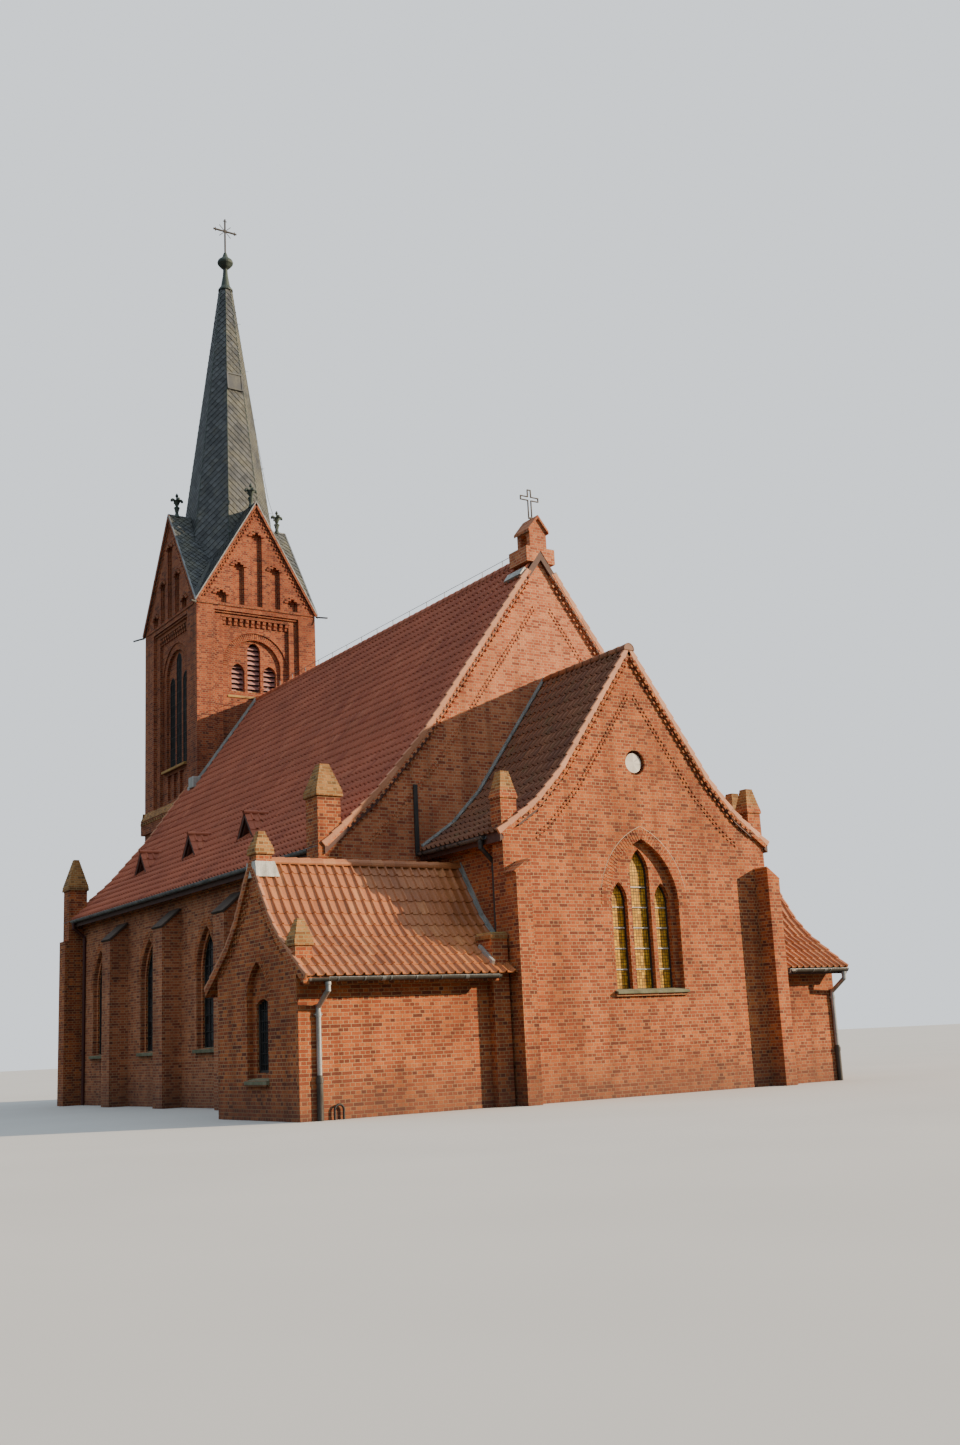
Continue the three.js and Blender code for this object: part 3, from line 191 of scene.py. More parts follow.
def pick_faces(piece: Piece, test: Test) -> None:
    """Selects the faces of an open piece whose middle and normal pass a test."""
    bpy.ops.mesh.select_mode(type="FACE")
    bpy.ops.mesh.select_all(action="DESELECT")
    shape = bmesh.from_edit_mesh(piece.data)
    for face in shape.faces:
        face.select_set(test(face.calc_center_median(), face.normal))
    bmesh.update_edit_mesh(piece.data)


def pick_points(piece: Piece, test: Callable[[Vector], bool]) -> None:
    """Selects the vertices of an open piece whose place passes a test."""
    bpy.ops.mesh.select_mode(type="VERT")
    bpy.ops.mesh.select_all(action="DESELECT")
    shape = bmesh.from_edit_mesh(piece.data)
    for vertex in shape.verts:
        vertex.select_set(test(vertex.co))
    shape.select_flush_mode()
    bmesh.update_edit_mesh(piece.data)


def shift_points(piece: Piece, test: Callable[[Vector], bool], offset: Sequence[float]) -> None:
    """Moves the vertices of an open piece that pass a test."""
    pick_points(piece, test)
    bpy.ops.transform.translate(value=offset)


def trim(piece: Piece, point: Sequence[float], outward: Sequence[float]) -> None:
    """Cuts a piece with a plane and closes the cut.

    Args:
        piece: The piece to cut.
        point: A point on the plane.
        outward: The side that is taken away.
    """
    with shaping(piece):
        bpy.ops.mesh.select_all(action="SELECT")
        bpy.ops.mesh.bisect(plane_co=point, plane_no=outward, use_fill=True, clear_outer=True)


def apply_modifier(piece: Piece, kind: str, **settings: object) -> Piece:
    """Adds a modifier with its settings and applies it.

    Args:
        piece: The piece that gets it.
        kind: The modifier's type.
        **settings: Its settings.

    Returns:
        The same piece.
    """
    take(piece)
    modifier = piece.modifiers.new(kind.lower(), kind)
    for key, value in settings.items():
        setattr(modifier, key, value)
    bpy.ops.object.modifier_apply(modifier=modifier.name)
    return piece


def soften(piece: Piece, width: float, segments: int = 1) -> Piece:
    """Rounds a piece's edges over a width."""
    return apply_modifier(piece, "BEVEL", width=width, segments=segments, limit_method="ANGLE")


def repeat(piece: Piece, count: int, step: Sequence[float]) -> Piece:
    """Repeats a piece in a row, each a step on from the last."""
    return apply_modifier(
        piece,
        "ARRAY",
        count=count,
        use_relative_offset=False,
        use_constant_offset=True,
        constant_offset_displace=step,
    )


def copied(piece: Piece, place: Matrix, name: str = "") -> Piece:
    """Copies a piece, with a mesh of its own, to another place.

    Args:
        piece: The piece to copy.
        place: The move from the piece to its copy.
        name: The copy's name, if it differs.

    Returns:
        The copy.
    """
    twin = piece.copy()
    twin.data = piece.data.copy()
    twin.data.transform(place)
    if place.determinant() < 0:
        twin.data.flip_normals()
    twin.name = name or piece.name
    bpy.context.scene.collection.objects.link(twin)
    return twin


def moved(piece: Piece, place: Matrix) -> Piece:
    """Puts a piece in its place, through its mesh."""
    piece.data.transform(place)
    if place.determinant() < 0:
        piece.data.flip_normals()
    return piece


def mirrored(piece: Piece) -> Piece:
    """A piece's copy on the other side of the church's axis."""
    return copied(piece, Matrix.Scale(-1, 4, (0, 1, 0)))


def eased(low: Sequence[float], high: Sequence[float], width: float = 0.006, segments: int = 1) -> Piece:
    """Adds a block between two corners, its edges rounded over a width."""
    return soften(block(low, high), width, segments)


def gather(name: str, pieces: Sequence[Piece]) -> Piece:
    """Joins pieces into one.

    Args:
        name: The whole's name.
        pieces: What it is made of.

    Returns:
        The whole.
    """
    take(*pieces)
    if len(pieces) > 1:
        bpy.ops.object.join()
    whole = bpy.context.active_object
    whole.name = name
    whole.data.name = name
    return whole


def both_sides(name: str, piece: Piece) -> Piece:
    """Joins a piece with its copy on the other side of the church's axis."""
    return gather(name, [piece, mirrored(piece)])


def scrap(*pieces: Piece) -> None:
    """Removes pieces that only served as patterns."""
    for piece in pieces:
        bpy.data.objects.remove(piece)


def hand_over(piece: Piece, finish: "Finish", slot: str, replaces: Sequence[str] = ()) -> Piece:
    """Moves a finished piece to the frame's origin, dresses it and hangs it on the building.

    Args:
        piece: The finished piece.
        finish: Its finish.
        slot: The material slot that the finish belongs to; not used.
        replaces: The solids of the frame that it stands for.

    Returns:
        The piece.
    """
    piece.data.transform(Matrix.Translation(SITE))
    piece.data.materials.clear()
    piece.data.materials.append(finish.material())
    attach(piece, "root")
    if replaces:
        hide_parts(*replaces)
    log.info("%s: %d faces", piece.name, len(piece.data.polygons))
    return piece


def dress(node: str, finish: "Finish") -> None:
    """Gives one of the frame's solids a finish on each of its material slots."""
    piece = frame["nodes"][node]
    if not piece.material_slots:
        piece.data.materials.append(finish.material())
    for slot in piece.material_slots:
        slot.material = finish.material()


# Finishes


def linear(colour: str) -> tuple[float, float, float, float]:
    """Turns an sRGB hex colour into linear light.

    Args:
        colour: Six hex digits.

    Returns:
        Red, green, blue and full alpha.
    """
    channels = [int(colour[i : i + 2], 16) / 255 for i in (0, 2, 4)]
    red, green, blue = (c / 12.92 if c <= 0.04045 else ((c + 0.055) / 1.055) ** 2.4 for c in channels)
    return (red, green, blue, 1.0)


def plug(tree: Tree, node: Node, inputs: dict) -> None:
    """Gives a node's inputs their values, or links them to other nodes' outputs.

    Args:
        tree: The material's nodes.
        node: The node.
        inputs: Values, or other nodes' outputs, by the input's name or number.
    """
    for key, value in inputs.items():
        if isinstance(value, Socket):
            tree.links.new(value, node.inputs[key])
        else:
            node.inputs[key].default_value = value


def add(tree: Tree, kind: str, inputs: dict | None = None, **settings: object) -> Node:
    """Adds a node, with its settings and its inputs.

    Args:
        tree: The material's nodes.
        kind: The node's type, without its leading ShaderNode.
        inputs: Values, or other nodes' outputs, by the input's name or number.
        **settings: The node's own settings.

    Returns:
        The node.
    """
    node = tree.nodes.new("ShaderNode" + kind)
    for key, value in settings.items():
        setattr(node, key, value)
    plug(tree, node, inputs or {})
    return node


def ramp(tree: Tree, value: Socket, *stops: Stop) -> Socket:
    """Colours a value by stops.

    Args:
        tree: The material's nodes.
        value: The value.
        *stops: Places from 0 to 1, each with a hex colour.

    Returns:
        The colour.
    """
    node = add(tree, "ValToRGB", {"Fac": value})
    elements = node.color_ramp.elements
    while len(elements) < len(stops):
        elements.new(0.5)
    for element, (place, colour) in zip(elements, stops):
        element.position = place
        element.color = linear(colour)
    return node.outputs["Color"]


def blend(tree: Tree, share: object, under: object, over: object, mode: str = "MIX") -> Socket:
    """Lays one colour over another.

    Args:
        tree: The material's nodes.
        share: How much of the upper colour shows.
        under: The lower colour.
        over: The upper colour.
        mode: How they combine.

    Returns:
        The resulting colour.
    """
    return add(tree, "Mix", {0: share, 6: under, 7: over}, data_type="RGBA", blend_type=mode).outputs[2]


def shade(tree: Tree, share: float, tone: Socket, value: Socket, *stops: Stop) -> Socket:
    """Darkens a tone by a value's stops of colour; white leaves it as it is."""
    return blend(tree, share, tone, ramp(tree, value, *stops), "MULTIPLY")


def reckon(tree: Tree, operation: str, *values: object) -> Socket:
    """Works a sum on values or other nodes' outputs and returns its result."""
    return add(tree, "Math", dict(enumerate(values)), operation=operation).outputs[0]


def noise(tree: Tree, place: Socket, scale: float, detail: float, roughness: float = 0.5) -> Socket:
    """Adds a cloudy pattern and returns its value; a higher scale makes it finer."""
    inputs = {"Vector": place, "Scale": scale, "Detail": detail, "Roughness": roughness}
    return add(tree, "TexNoise", inputs).outputs["Fac"]


def rescale(
    tree: Tree, value: Socket, low: float, high: float, least: float = 0.0, most: float = 1.0
) -> Socket:
    """Stretches the part of a value from low to high over least to most, and holds it there."""
    return add(tree, "MapRange", {0: value, 1: low, 2: high, 3: least, 4: most}).outputs[0]


def stretched(tree: Tree, place: Socket, scale: tuple[float, float, float]) -> Socket:
    """A place scaled on each axis, for patterns that run one way."""
    return add(tree, "Mapping", {"Vector": place, "Scale": scale}).outputs[0]


def emboss(tree: Tree, surface: Node, height: Socket, strength: float, distance: float) -> None:
    """Gives a surface a fine relief, its distance in metres."""
    bump = add(tree, "Bump", {"Height": height, "Strength": strength, "Distance": distance})
    plug(tree, surface, {"Normal": bump.outputs[0]})


def place_on(tree: Tree) -> Socket:
    """A point's place on the building."""
    return add(tree, "TexCoord").outputs["Object"]


def outlook(tree: Tree) -> Node:
    """The way that a surface looks, split into X, Y and Z."""
    return add(tree, "SeparateXYZ", {0: add(tree, "NewGeometry").outputs["True Normal"]})


def own_value(tree: Tree) -> Socket:
    """A value that each loose part of a piece has for itself."""
    return add(tree, "NewGeometry").outputs["Random Per Island"]


def across_wall(tree: Tree, faces_y: Socket, spot: Node) -> Socket:
    """A point's place across a wall: its X where the wall looks along Y, its Y elsewhere."""
    inputs = {0: faces_y, 2: spot.outputs["Y"], 3: spot.outputs["X"]}
    return add(tree, "Mix", inputs, data_type="FLOAT").outputs[0]


def oblongs(
    tree: Tree,
    plane: Socket,
    size: tuple[float, float],
    joint: float,
    grey: float,
    smooth: float,
    **settings: object,
) -> Node:
    """Adds oblongs in rows, each somewhere from black to white, with joints between them.

    Args:
        tree: The material's nodes.
        plane: The place on the plane that they fill.
        size: An oblong's width and height.
        joint: Half the width of a joint.
        grey: The joints' own grey.
        smooth: How soft the joints' edges are.
        **settings: How the rows are shifted and squeezed.

    Returns:
        The node.
    """
    black, joints, white = ((value, value, value, 1.0) for value in (0.0, grey, 1.0))
    inputs = {"Vector": plane, "Color1": black, "Color2": white, "Mortar": joints, "Scale": 1.0, "Bias": 0.0}
    inputs |= {"Mortar Size": joint, "Mortar Smooth": smooth, "Brick Width": size[0], "Row Height": size[1]}
    return add(tree, "TexBrick", inputs, **settings)


class Finish:
    """A finish that makes its material once and keeps it."""

    name: str

    def material(self) -> bpy.types.Material:
        """Makes the material on its first use.

        Returns:
            The material.
        """
        known = bpy.data.materials.get(self.name)
        if known:
            return known
        made = bpy.data.materials.new(self.name)
        made.use_nodes = True
        tree = made.node_tree
        tree.nodes.clear()
        surface = add(tree, "BsdfPrincipled")
        self.lay(tree, surface)
        add(tree, "OutputMaterial", {0: surface.outputs[0]})
        return made

    def lay(self, tree: Tree, surface: Node) -> None:
        """Builds the finish's own nodes on the surface shader."""
        raise NotImplementedError


@dataclass(frozen=True)
class FiredBrick(Finish):
    """Machine-made fired brick in cross bond: matt, with a sandy skin and pale lime joints.

    The courses are 77 mm and the bricks 240 mm; joints are drawn 14 mm wide, a little over the
    usual 12 mm, so that they still show at the picture's distance.
    """

    name: str = "fired_brick"
    light: str = "CC743C"
    warm: str = "AC562E"
    deep: str = "8E4628"
    dark: str = "723824"
    joint: str = "BE9C72"
    moss: float = -0.3
    lichen: str = "7A6A40"
    half_joint: float = 0.007

    def lay(self, tree: Tree, surface: Node) -> None:
        """Builds brick, joint, weathering and relief."""
        place = place_on(tree)
        spot = add(tree, "SeparateXYZ", {0: place})
        way = outlook(tree)
        along_y, along_x = (reckon(tree, "ABSOLUTE", way.outputs[axis]) for axis in "YX")
        across = across_wall(tree, reckon(tree, "GREATER_THAN", along_y, along_x), spot)
        wobble = noise(tree, place, 6.0, 1.0)
        height = reckon(tree, "MULTIPLY_ADD", wobble, 0.008, spot.outputs["Z"])
        wall = add(tree, "CombineXYZ", {0: across, 1: height}).outputs[0]
        size = (BRICK_LENGTH, BRICK_COURSE)
        cross = {"offset": 0.5, "offset_frequency": 2, "squash": 0.5, "squash_frequency": 2}
        bond = oblongs(tree, wall, size, self.half_joint, 0.5, 0.25, **cross)
        tones = ((0.0, self.dark), (0.12, self.deep), (0.5, self.warm), (0.9, self.light), (1.0, self.warm))
        brick = ramp(tree, bond.outputs["Color"], *tones)
        patch = noise(tree, place, 0.45, 4.0, 0.6)
        weather = ramp(tree, patch, (0.3, "9A8A80"), (0.55, "FFFFFF"), (0.75, "E8D8CC"))
        brick = blend(tree, 0.45, brick, weather, "MULTIPLY")
        skin = noise(tree, place, 45.0, 3.0)
        brick = shade(tree, 0.5, brick, skin, (0.3, "A08878"), (0.6, "FFFFFF"))
        joint = blend(tree, 0.6, linear(self.joint), weather, "MULTIPLY")
        tone = blend(tree, bond.outputs["Fac"], brick, joint)
        # Rain carries dirt down in streaks, and each wall is darker towards its foot
        streak = noise(tree, stretched(tree, place, (2.2, 2.2, 0.22)), 1.0, 5.0)
        tone = shade(tree, 0.3, tone, streak, (0.35, "8F7C70"), (0.5, "FFFFFF"))
        foot_darkening = rescale(tree, spot.outputs["Z"], 0.0, 1.1, 0.55, 0.0)
        tone = blend(tree, foot_darkening, tone, linear("5C4438"))
        # Moss and lichen settle on what looks up
        up = reckon(tree, "MULTIPLY_ADD", way.outputs["Z"], 0.9, self.moss - 0.45)
        tuft = noise(tree, place, 5.0, 6.0, 0.7)
        moss = rescale(tree, reckon(tree, "ADD", up, tuft), 0.55, 0.85)
        tone = blend(tree, moss, tone, linear(self.lichen))
        plug(tree, surface, {"Base Color": tone, "Roughness": 0.88, "IOR": 1.45})
        relief = reckon(tree, "SUBTRACT", reckon(tree, "MULTIPLY", skin, 0.35), bond.outputs["Fac"])
        emboss(tree, surface, relief, 0.7, 0.008)


@dataclass(frozen=True)
class ClayTile(Finish):
    """Pressed clay roof tile: one colour a tile, slightly satin, with dust and lichen in patches."""

    name: str
    light: str
    mid: str
    dark: str
    lichen: str = "6E6440"
    lichen_share: float = 0.25
    roughness: float = 0.62

    def lay(self, tree: Tree, surface: Node) -> None:
        """Builds the tiles' tones, lichen and grain."""
        place = place_on(tree)
        tones = ((0.0, self.dark), (0.2, self.mid), (0.8, self.mid), (1.0, self.light))
        tone = ramp(tree, own_value(tree), *tones)
        patch = noise(tree, place, 0.6, 5.0, 0.6)
        tone = shade(tree, 0.4, tone, patch, (0.3, "A89488"), (0.65, "FFFFFF"))
        grain = noise(tree, place, 30.0, 4.0)
        tone = shade(tree, 0.4, tone, grain, (0.3, "B09A90"), (0.7, "FFFFFF"))
        growth = noise(tree, place, 1.7, 7.0, 0.75)
        cover = rescale(tree, growth, 0.52, 0.78, 0.0, self.lichen_share)
        tone = blend(tree, cover, tone, linear(self.lichen))
        plug(tree, surface, {"Base Color": tone, "Roughness": self.roughness})
        emboss(tree, surface, grain, 0.35, 0.004)


@dataclass(frozen=True)
class Slate(Finish):
    """Split slate: each with its own grey, a fine cleft skin and pale lichen on the weather side."""

    name: str = "split_slate"
    light: str = "5E6366"
    mid: str = "4A4F52"
    dark: str = "3A3F42"
    lichen: str = "83826C"

    def lay(self, tree: Tree, surface: Node) -> None:
        """Builds the slates' tones, lichen and cleft skin."""
        place = place_on(tree)
        tone = ramp(tree, own_value(tree), (0.0, self.dark), (0.5, self.mid), (1.0, self.light))
        growth = noise(tree, place, 1.3, 7.0, 0.7)
        weather = reckon(tree, "MULTIPLY_ADD", outlook(tree).outputs["Y"], 0.14, growth)
        cover = rescale(tree, weather, 0.42, 0.75, 0.0, 0.75)
        tone = blend(tree, cover, tone, linear(self.lichen))
        cleft = noise(tree, place, 18.0, 6.0, 0.65)
        tone = shade(tree, 0.45, tone, cleft, (0.3, "8A8A8A"), (0.7, "FFFFFF"))
        rough = rescale(tree, cleft, 0.3, 0.7, 0.42, 0.68)
        plug(tree, surface, {"Base Color": tone, "Roughness": rough})
        emboss(tree, surface, cleft, 0.4, 0.004)


@dataclass(frozen=True)
class SheetMetal(Finish):
    """Folded or cast metal left to the weather: dull, streaked and blotched."""

    name: str
    clean: str
    aged: str
    metallic: float = 0.7
    roughness: float = 0.45
    spread: float = 0.5

    def lay(self, tree: Tree, surface: Node) -> None:
        """Builds bloom, streaks and uneven gloss."""
        place = place_on(tree)
        bloom = noise(tree, stretched(tree, place, (3.0, 3.0, 0.7)), 2.0, 6.0, 0.65)
        age = rescale(tree, bloom, 0.35, 0.7, 0.0, 2 * self.spread)
        tone = blend(tree, age, linear(self.clean), linear(self.aged))
        speck = noise(tree, place, 40.0, 3.0)
        tone = shade(tree, 0.35, tone, speck, (0.35, "8C8C8C"), (0.65, "FFFFFF"))
        rough = rescale(tree, bloom, 0.3, 0.7, self.roughness - 0.1, self.roughness + 0.2)
        plug(tree, surface, {"Base Color": tone, "Metallic": self.metallic, "Roughness": rough})
        emboss(tree, surface, speck, 0.2, 0.003)


@dataclass(frozen=True)
class LeadedGlass(Finish):
    """Hand-made panes in lead: each pane a little different in tone and tilt."""

    name: str
    light: str
    mid: str
    dark: str
    pane_width: float = 0.16
    pane_height: float = 0.22
    roughness: float = 0.16
    gloss: float = 0.3
    seeded: float = 0.2
    half_lead: float = 0.006

    def lay(self, tree: Tree, surface: Node) -> None:
        """Builds panes, lead lines and the uneven surface of the glass."""
        place = place_on(tree)
        spot = add(tree, "SeparateXYZ", {0: place})
        faces_y = reckon(tree, "GREATER_THAN", reckon(tree, "ABSOLUTE", outlook(tree).outputs["Y"]), 0.5)
        across = across_wall(tree, faces_y, spot)
        sheet = add(tree, "CombineXYZ", {0: across, 1: spot.outputs["Z"]}).outputs[0]
        size = (self.pane_width, self.pane_height)
        panes = oblongs(tree, sheet, size, self.half_lead, 0.0, 0.1, offset=0.0)
        tone = ramp(tree, panes.outputs["Color"], (0.0, self.dark), (0.5, self.mid), (1.0, self.light))
        cloud = noise(tree, place, 9.0, 5.0)
        tone = shade(tree, 0.6, tone, cloud, (0.3, "909090"), (0.7, "FFFFFF"))
        lead = panes.outputs["Fac"]
        tone = blend(tree, lead, tone, linear("23211F"))
        rough = rescale(tree, lead, 0.0, 1.0, self.roughness, 0.6)
        plug(tree, surface, {"Base Color": tone, "Roughness": rough})
        plug(tree, surface, {"IOR": 1.52, "Specular IOR Level": self.gloss})
        seeds = noise(tree, place, 60.0, 2.0)
        uneven = reckon(tree, "MULTIPLY_ADD", lead, 1.0, reckon(tree, "MULTIPLY", seeds, self.seeded))
        emboss(tree, surface, uneven, 0.5, 0.006)


@dataclass(frozen=True)
class WeatheredStone(Finish):
    """Dressed sandstone or render open to the rain: grained, stained and grown over with lichen."""

    name: str
    light: str
    dark: str
    lichen: str
    lichen_share: float = 0.6

    def lay(self, tree: Tree, surface: Node) -> None:
        """Builds grain, stains and lichen."""
        place = place_on(tree)
        stain = noise(tree, place, 3.0, 6.0, 0.65)
        tone = ramp(tree, stain, (0.3, self.dark), (0.65, self.light))
        growth = noise(tree, place, 11.0, 6.0, 0.7)
        cover = rescale(tree, growth, 0.45, 0.62, 0.0, self.lichen_share)
        tone = blend(tree, cover, tone, linear(self.lichen))
        plug(tree, surface, {"Base Color": tone, "Roughness": 0.9})
        grit = noise(tree, place, 70.0, 3.0)
        emboss(tree, surface, reckon(tree, "ADD", grit, growth), 0.5, 0.006)


@dataclass(frozen=True)
class PaintedBoard(Finish):
    """Sawn softwood under old paint: grain shows through, and the paint has faded in streaks."""

    name: str
    paint: str
    faded: str
    grain_along: tuple[float, float, float] = (1.0, 1.0, 12.0)
    roughness: float = 0.7

    def lay(self, tree: Tree, surface: Node) -> None:
        """Builds grain, fading and relief."""
        grain = noise(tree, stretched(tree, place_on(tree), self.grain_along), 5.0, 8.0, 0.7)
        tone = ramp(tree, grain, (0.35, self.paint), (0.7, self.faded))
        tone = shade(tree, 0.5, tone, own_value(tree), (0.0, "9C9C9C"), (1.0, "FFFFFF"))
        plug(tree, surface, {"Base Color": tone, "Roughness": self.roughness})
        emboss(tree, surface, grain, 0.4, 0.003)


@dataclass(frozen=True)
class StudioPaper(Finish):
    """Matt background paper: near white, with the faintest mottling."""

    name: str = "studio_paper"
    colour: str = "C9C9C5"

    def lay(self, tree: Tree, surface: Node) -> None:
        """Builds the paper's faint mottling."""
        mottle = noise(tree, place_on(tree), 0.2, 3.0)
        tone = ramp(tree, mottle, (0.3, "C3C3BF"), (0.7, self.colour))
        # It looks pale but throws little light back, so that the eaves stay dark underneath
        seen = add(tree, "LightPath").outputs["Is Camera Ray"]
        tone = blend(tree, seen, linear("5A5C50"), tone)
        plug(tree, surface, {"Base Color": tone, "Roughness": 0.95})


BRICK = FiredBrick()
# A lighter copy of the brick for the east gable, its shrine and the nave's rakes and teeth
GABLE_BRICK = FiredBrick(
    name="light_gable_brick",
    light="DE8E60",
    warm="CC764C",
    deep="B45F3E",
    dark="965038",
    joint="CCAC88",
)
# A darker, redder copy of the brick for the tower
TOWER_BRICK = FiredBrick(
    name="dark_tower_brick", light="B2643E", warm="9C4E30", deep="803C2A", dark="683024", joint="9E8464"
)
# A paler, greyer copy of the brick for the nave's long walls
WALL_BRICK = FiredBrick(
    name="pale_wall_brick", light="CE8458", warm="B66A44", deep="9A5438", dark="7E4632", joint="C4A684"
)
CAP_BRICK = FiredBrick(
    name="mossy_cap_brick",
    light="C48E54",
    warm="AC7642",
    deep="8E6036",
    dark="6E4C2E",
    joint="AC9A70",
    moss=0.0,
    lichen="8E8048",
)
NAVE_TILE = ClayTile("nave_clay_tile", light="C0704E", mid="B66444", dark="A6563A", lichen_share=0.15)
CHANCEL_TILE = ClayTile(
    "chancel_clay_tile", light="96603C", mid="845030", dark="724228", lichen="585026", lichen_share=0.8
)
ANNEX_TILE = ClayTile("annex_clay_tile", light="CE8C58", mid="BC7848", dark="A6663A", roughness=0.5)
# Painted shade: near-black clay for the blocks that stand for the shaded hollows under the tiles' rolls
ROLL_SHADE_CLAY = ClayTile("painted_roll_shade", light="3A241C", mid="2A1A14", dark="1E120E", lichen_share=0.0)
VERGE_TILE = ClayTile("verge_clay_tile", light="DCA07C", mid="CC8E68", dark="B67A56", lichen_share=0.2)
SLATE = Slate()
COPPER = SheetMetal("weathered_copper", clean="3A4442", aged="56665E", metallic=0.4, roughness=0.6)
OLD_ZINC = SheetMetal("sooty_zinc", clean="5C5A56", aged="3E3A36", metallic=0.3, roughness=0.5)
NEW_ZINC = SheetMetal("bright_zinc", clean="C6CACA", aged="8E9292", metallic=0.6, roughness=0.35)
ZINC = SheetMetal("weathered_zinc", clean="94989A", aged="62686A", metallic=0.5, roughness=0.42)
LEAD = SheetMetal("lead_flashing", clean="B8BAB6", aged="8E908C", metallic=0.3, roughness=0.55)
WHITE_LEAD = SheetMetal("bleached_flashing", clean="D6D6D0", aged="A8AAA4", metallic=0.1, roughness=0.6)
IRON = SheetMetal("painted_iron", clean="3A3A3A", aged="54504C", metallic=0.5, roughness=0.55)
RED_PIPE = SheetMetal("red_brown_painted_pipe", clean="4A231E", aged="5C322A", metallic=0.1, roughness=0.5)
GLASS = LeadedGlass("leaded_glass", light="363E42", mid="20262A", dark="101416", roughness=0.22)
SOOTY_GLASS = LeadedGlass(
    "sooty_leaded_glass", light="2C2E2E", mid="1E2020", dark="121414", roughness=0.5, gloss=0.08
)
AMBER_GLASS = LeadedGlass(
    "amber_leaded_glass",
    light="FFC640",
    mid="E2A62A",
    dark="B4801C",
    pane_width=0.075,
    pane_height=0.075,
    roughness=0.3,
)
SILL_STONE = WeatheredStone("sill_stone", light="86866E", dark="4E4E40", lichen="6A6C44")
LICHEN_STONE = WeatheredStone("lichened_brick_sill", light="B08A58", dark="8A6440", lichen="B09A48")
CAP_STONE = WeatheredStone("buttress_cap", light="5A4C44", dark="382E2A", lichen="5C5038", lichen_share=0.4)
LOUVRE_PAINT = PaintedBoard("louvre_paint", paint="A86E68", faded="CCA098")
DOOR_PAINT = PaintedBoard("door_boards", paint="3E2A1E", faded="5E4430", grain_along=(14.0, 14.0, 1.0))
OLD_BOARD = PaintedBoard("old_board", paint="4A2E26", faded="6A463A", grain_along=(2.0, 2.0, 2.0))
# Painted shade: a near-black board that stands for the shaded openings of the dormers
DORMER_SHADE = PaintedBoard("painted_dormer_shade", paint="0C0A09", faded="171412")
LIME_JOINT = WeatheredStone("lime_joint", light="C8B49C", dark="A08C76", lichen="9C8C70", lichen_share=0.2)
DISC_PAINT = PaintedBoard("disc_paint", paint="E6E2D6", faded="F2EEE4")
PAPER = StudioPaper()


# Shapes that recur on the building


@dataclass(frozen=True)
class RoofLine:
    """A bent slope, as (distance from the ridge, height of its upper surface) from ridge to eave."""

    points: tuple[tuple[float, float], ...]

    def length(self) -> float:
        """How long the slope is from ridge to eave."""
        return sum(math.dist(a, b) for a, b in zip(self.points, self.points[1:]))

    def at(self, run: float) -> Vector:
        """Finds the point a run down the slope.

        Args:
            run: How far from the ridge, along the slope.

        Returns:
            Its distance from the ridge and its height.
        """
        for a, b in zip(self.points, self.points[1:]):
            part = math.dist(a, b)
            if run <= part or b == self.points[-1]:
                return Vector(a).lerp(Vector(b), run / part)
            run -= part
        return Vector(self.points[-1])

    def run_at(self, distance: float) -> float:
        """The run down the slope at a distance from the ridge."""
        run = 0.0
        for a, b in zip(self.points, self.points[1:]):
            if distance <= b[0]:
                return run + math.dist(a, b) * (distance - a[0]) / (b[0] - a[0])
            run += math.dist(a, b)
        return run

    def height(self, distance: float) -> float:
        """The height of the slope at a distance from the ridge."""
        return self.at(self.run_at(distance)).y


def slope_frame(line: RoofLine, low: float, high: float, across: float = 0.0) -> Matrix:
    """Axes on a slope that looks south: X across it, Y up it, Z out of it.

    Args:
        line: The slope.
        low: The run of the lower point, where the origin is.
        high: The run of the upper point.
        across: Where the origin is across the slope.

    Returns:
        The matrix from those axes to the slope's own.
    """
    foot, head = line.at(low), line.at(high)
    up = Vector((0.0, foot.x - head.x, head.y - foot.y)).normalized()
    side = Vector((1.0, 0.0, 0.0))
    out = side.cross(up)
    turn = Matrix((side, up, out)).transposed().to_4x4()
    return Matrix.Translation((across, -foot.x, foot.y)) @ turn


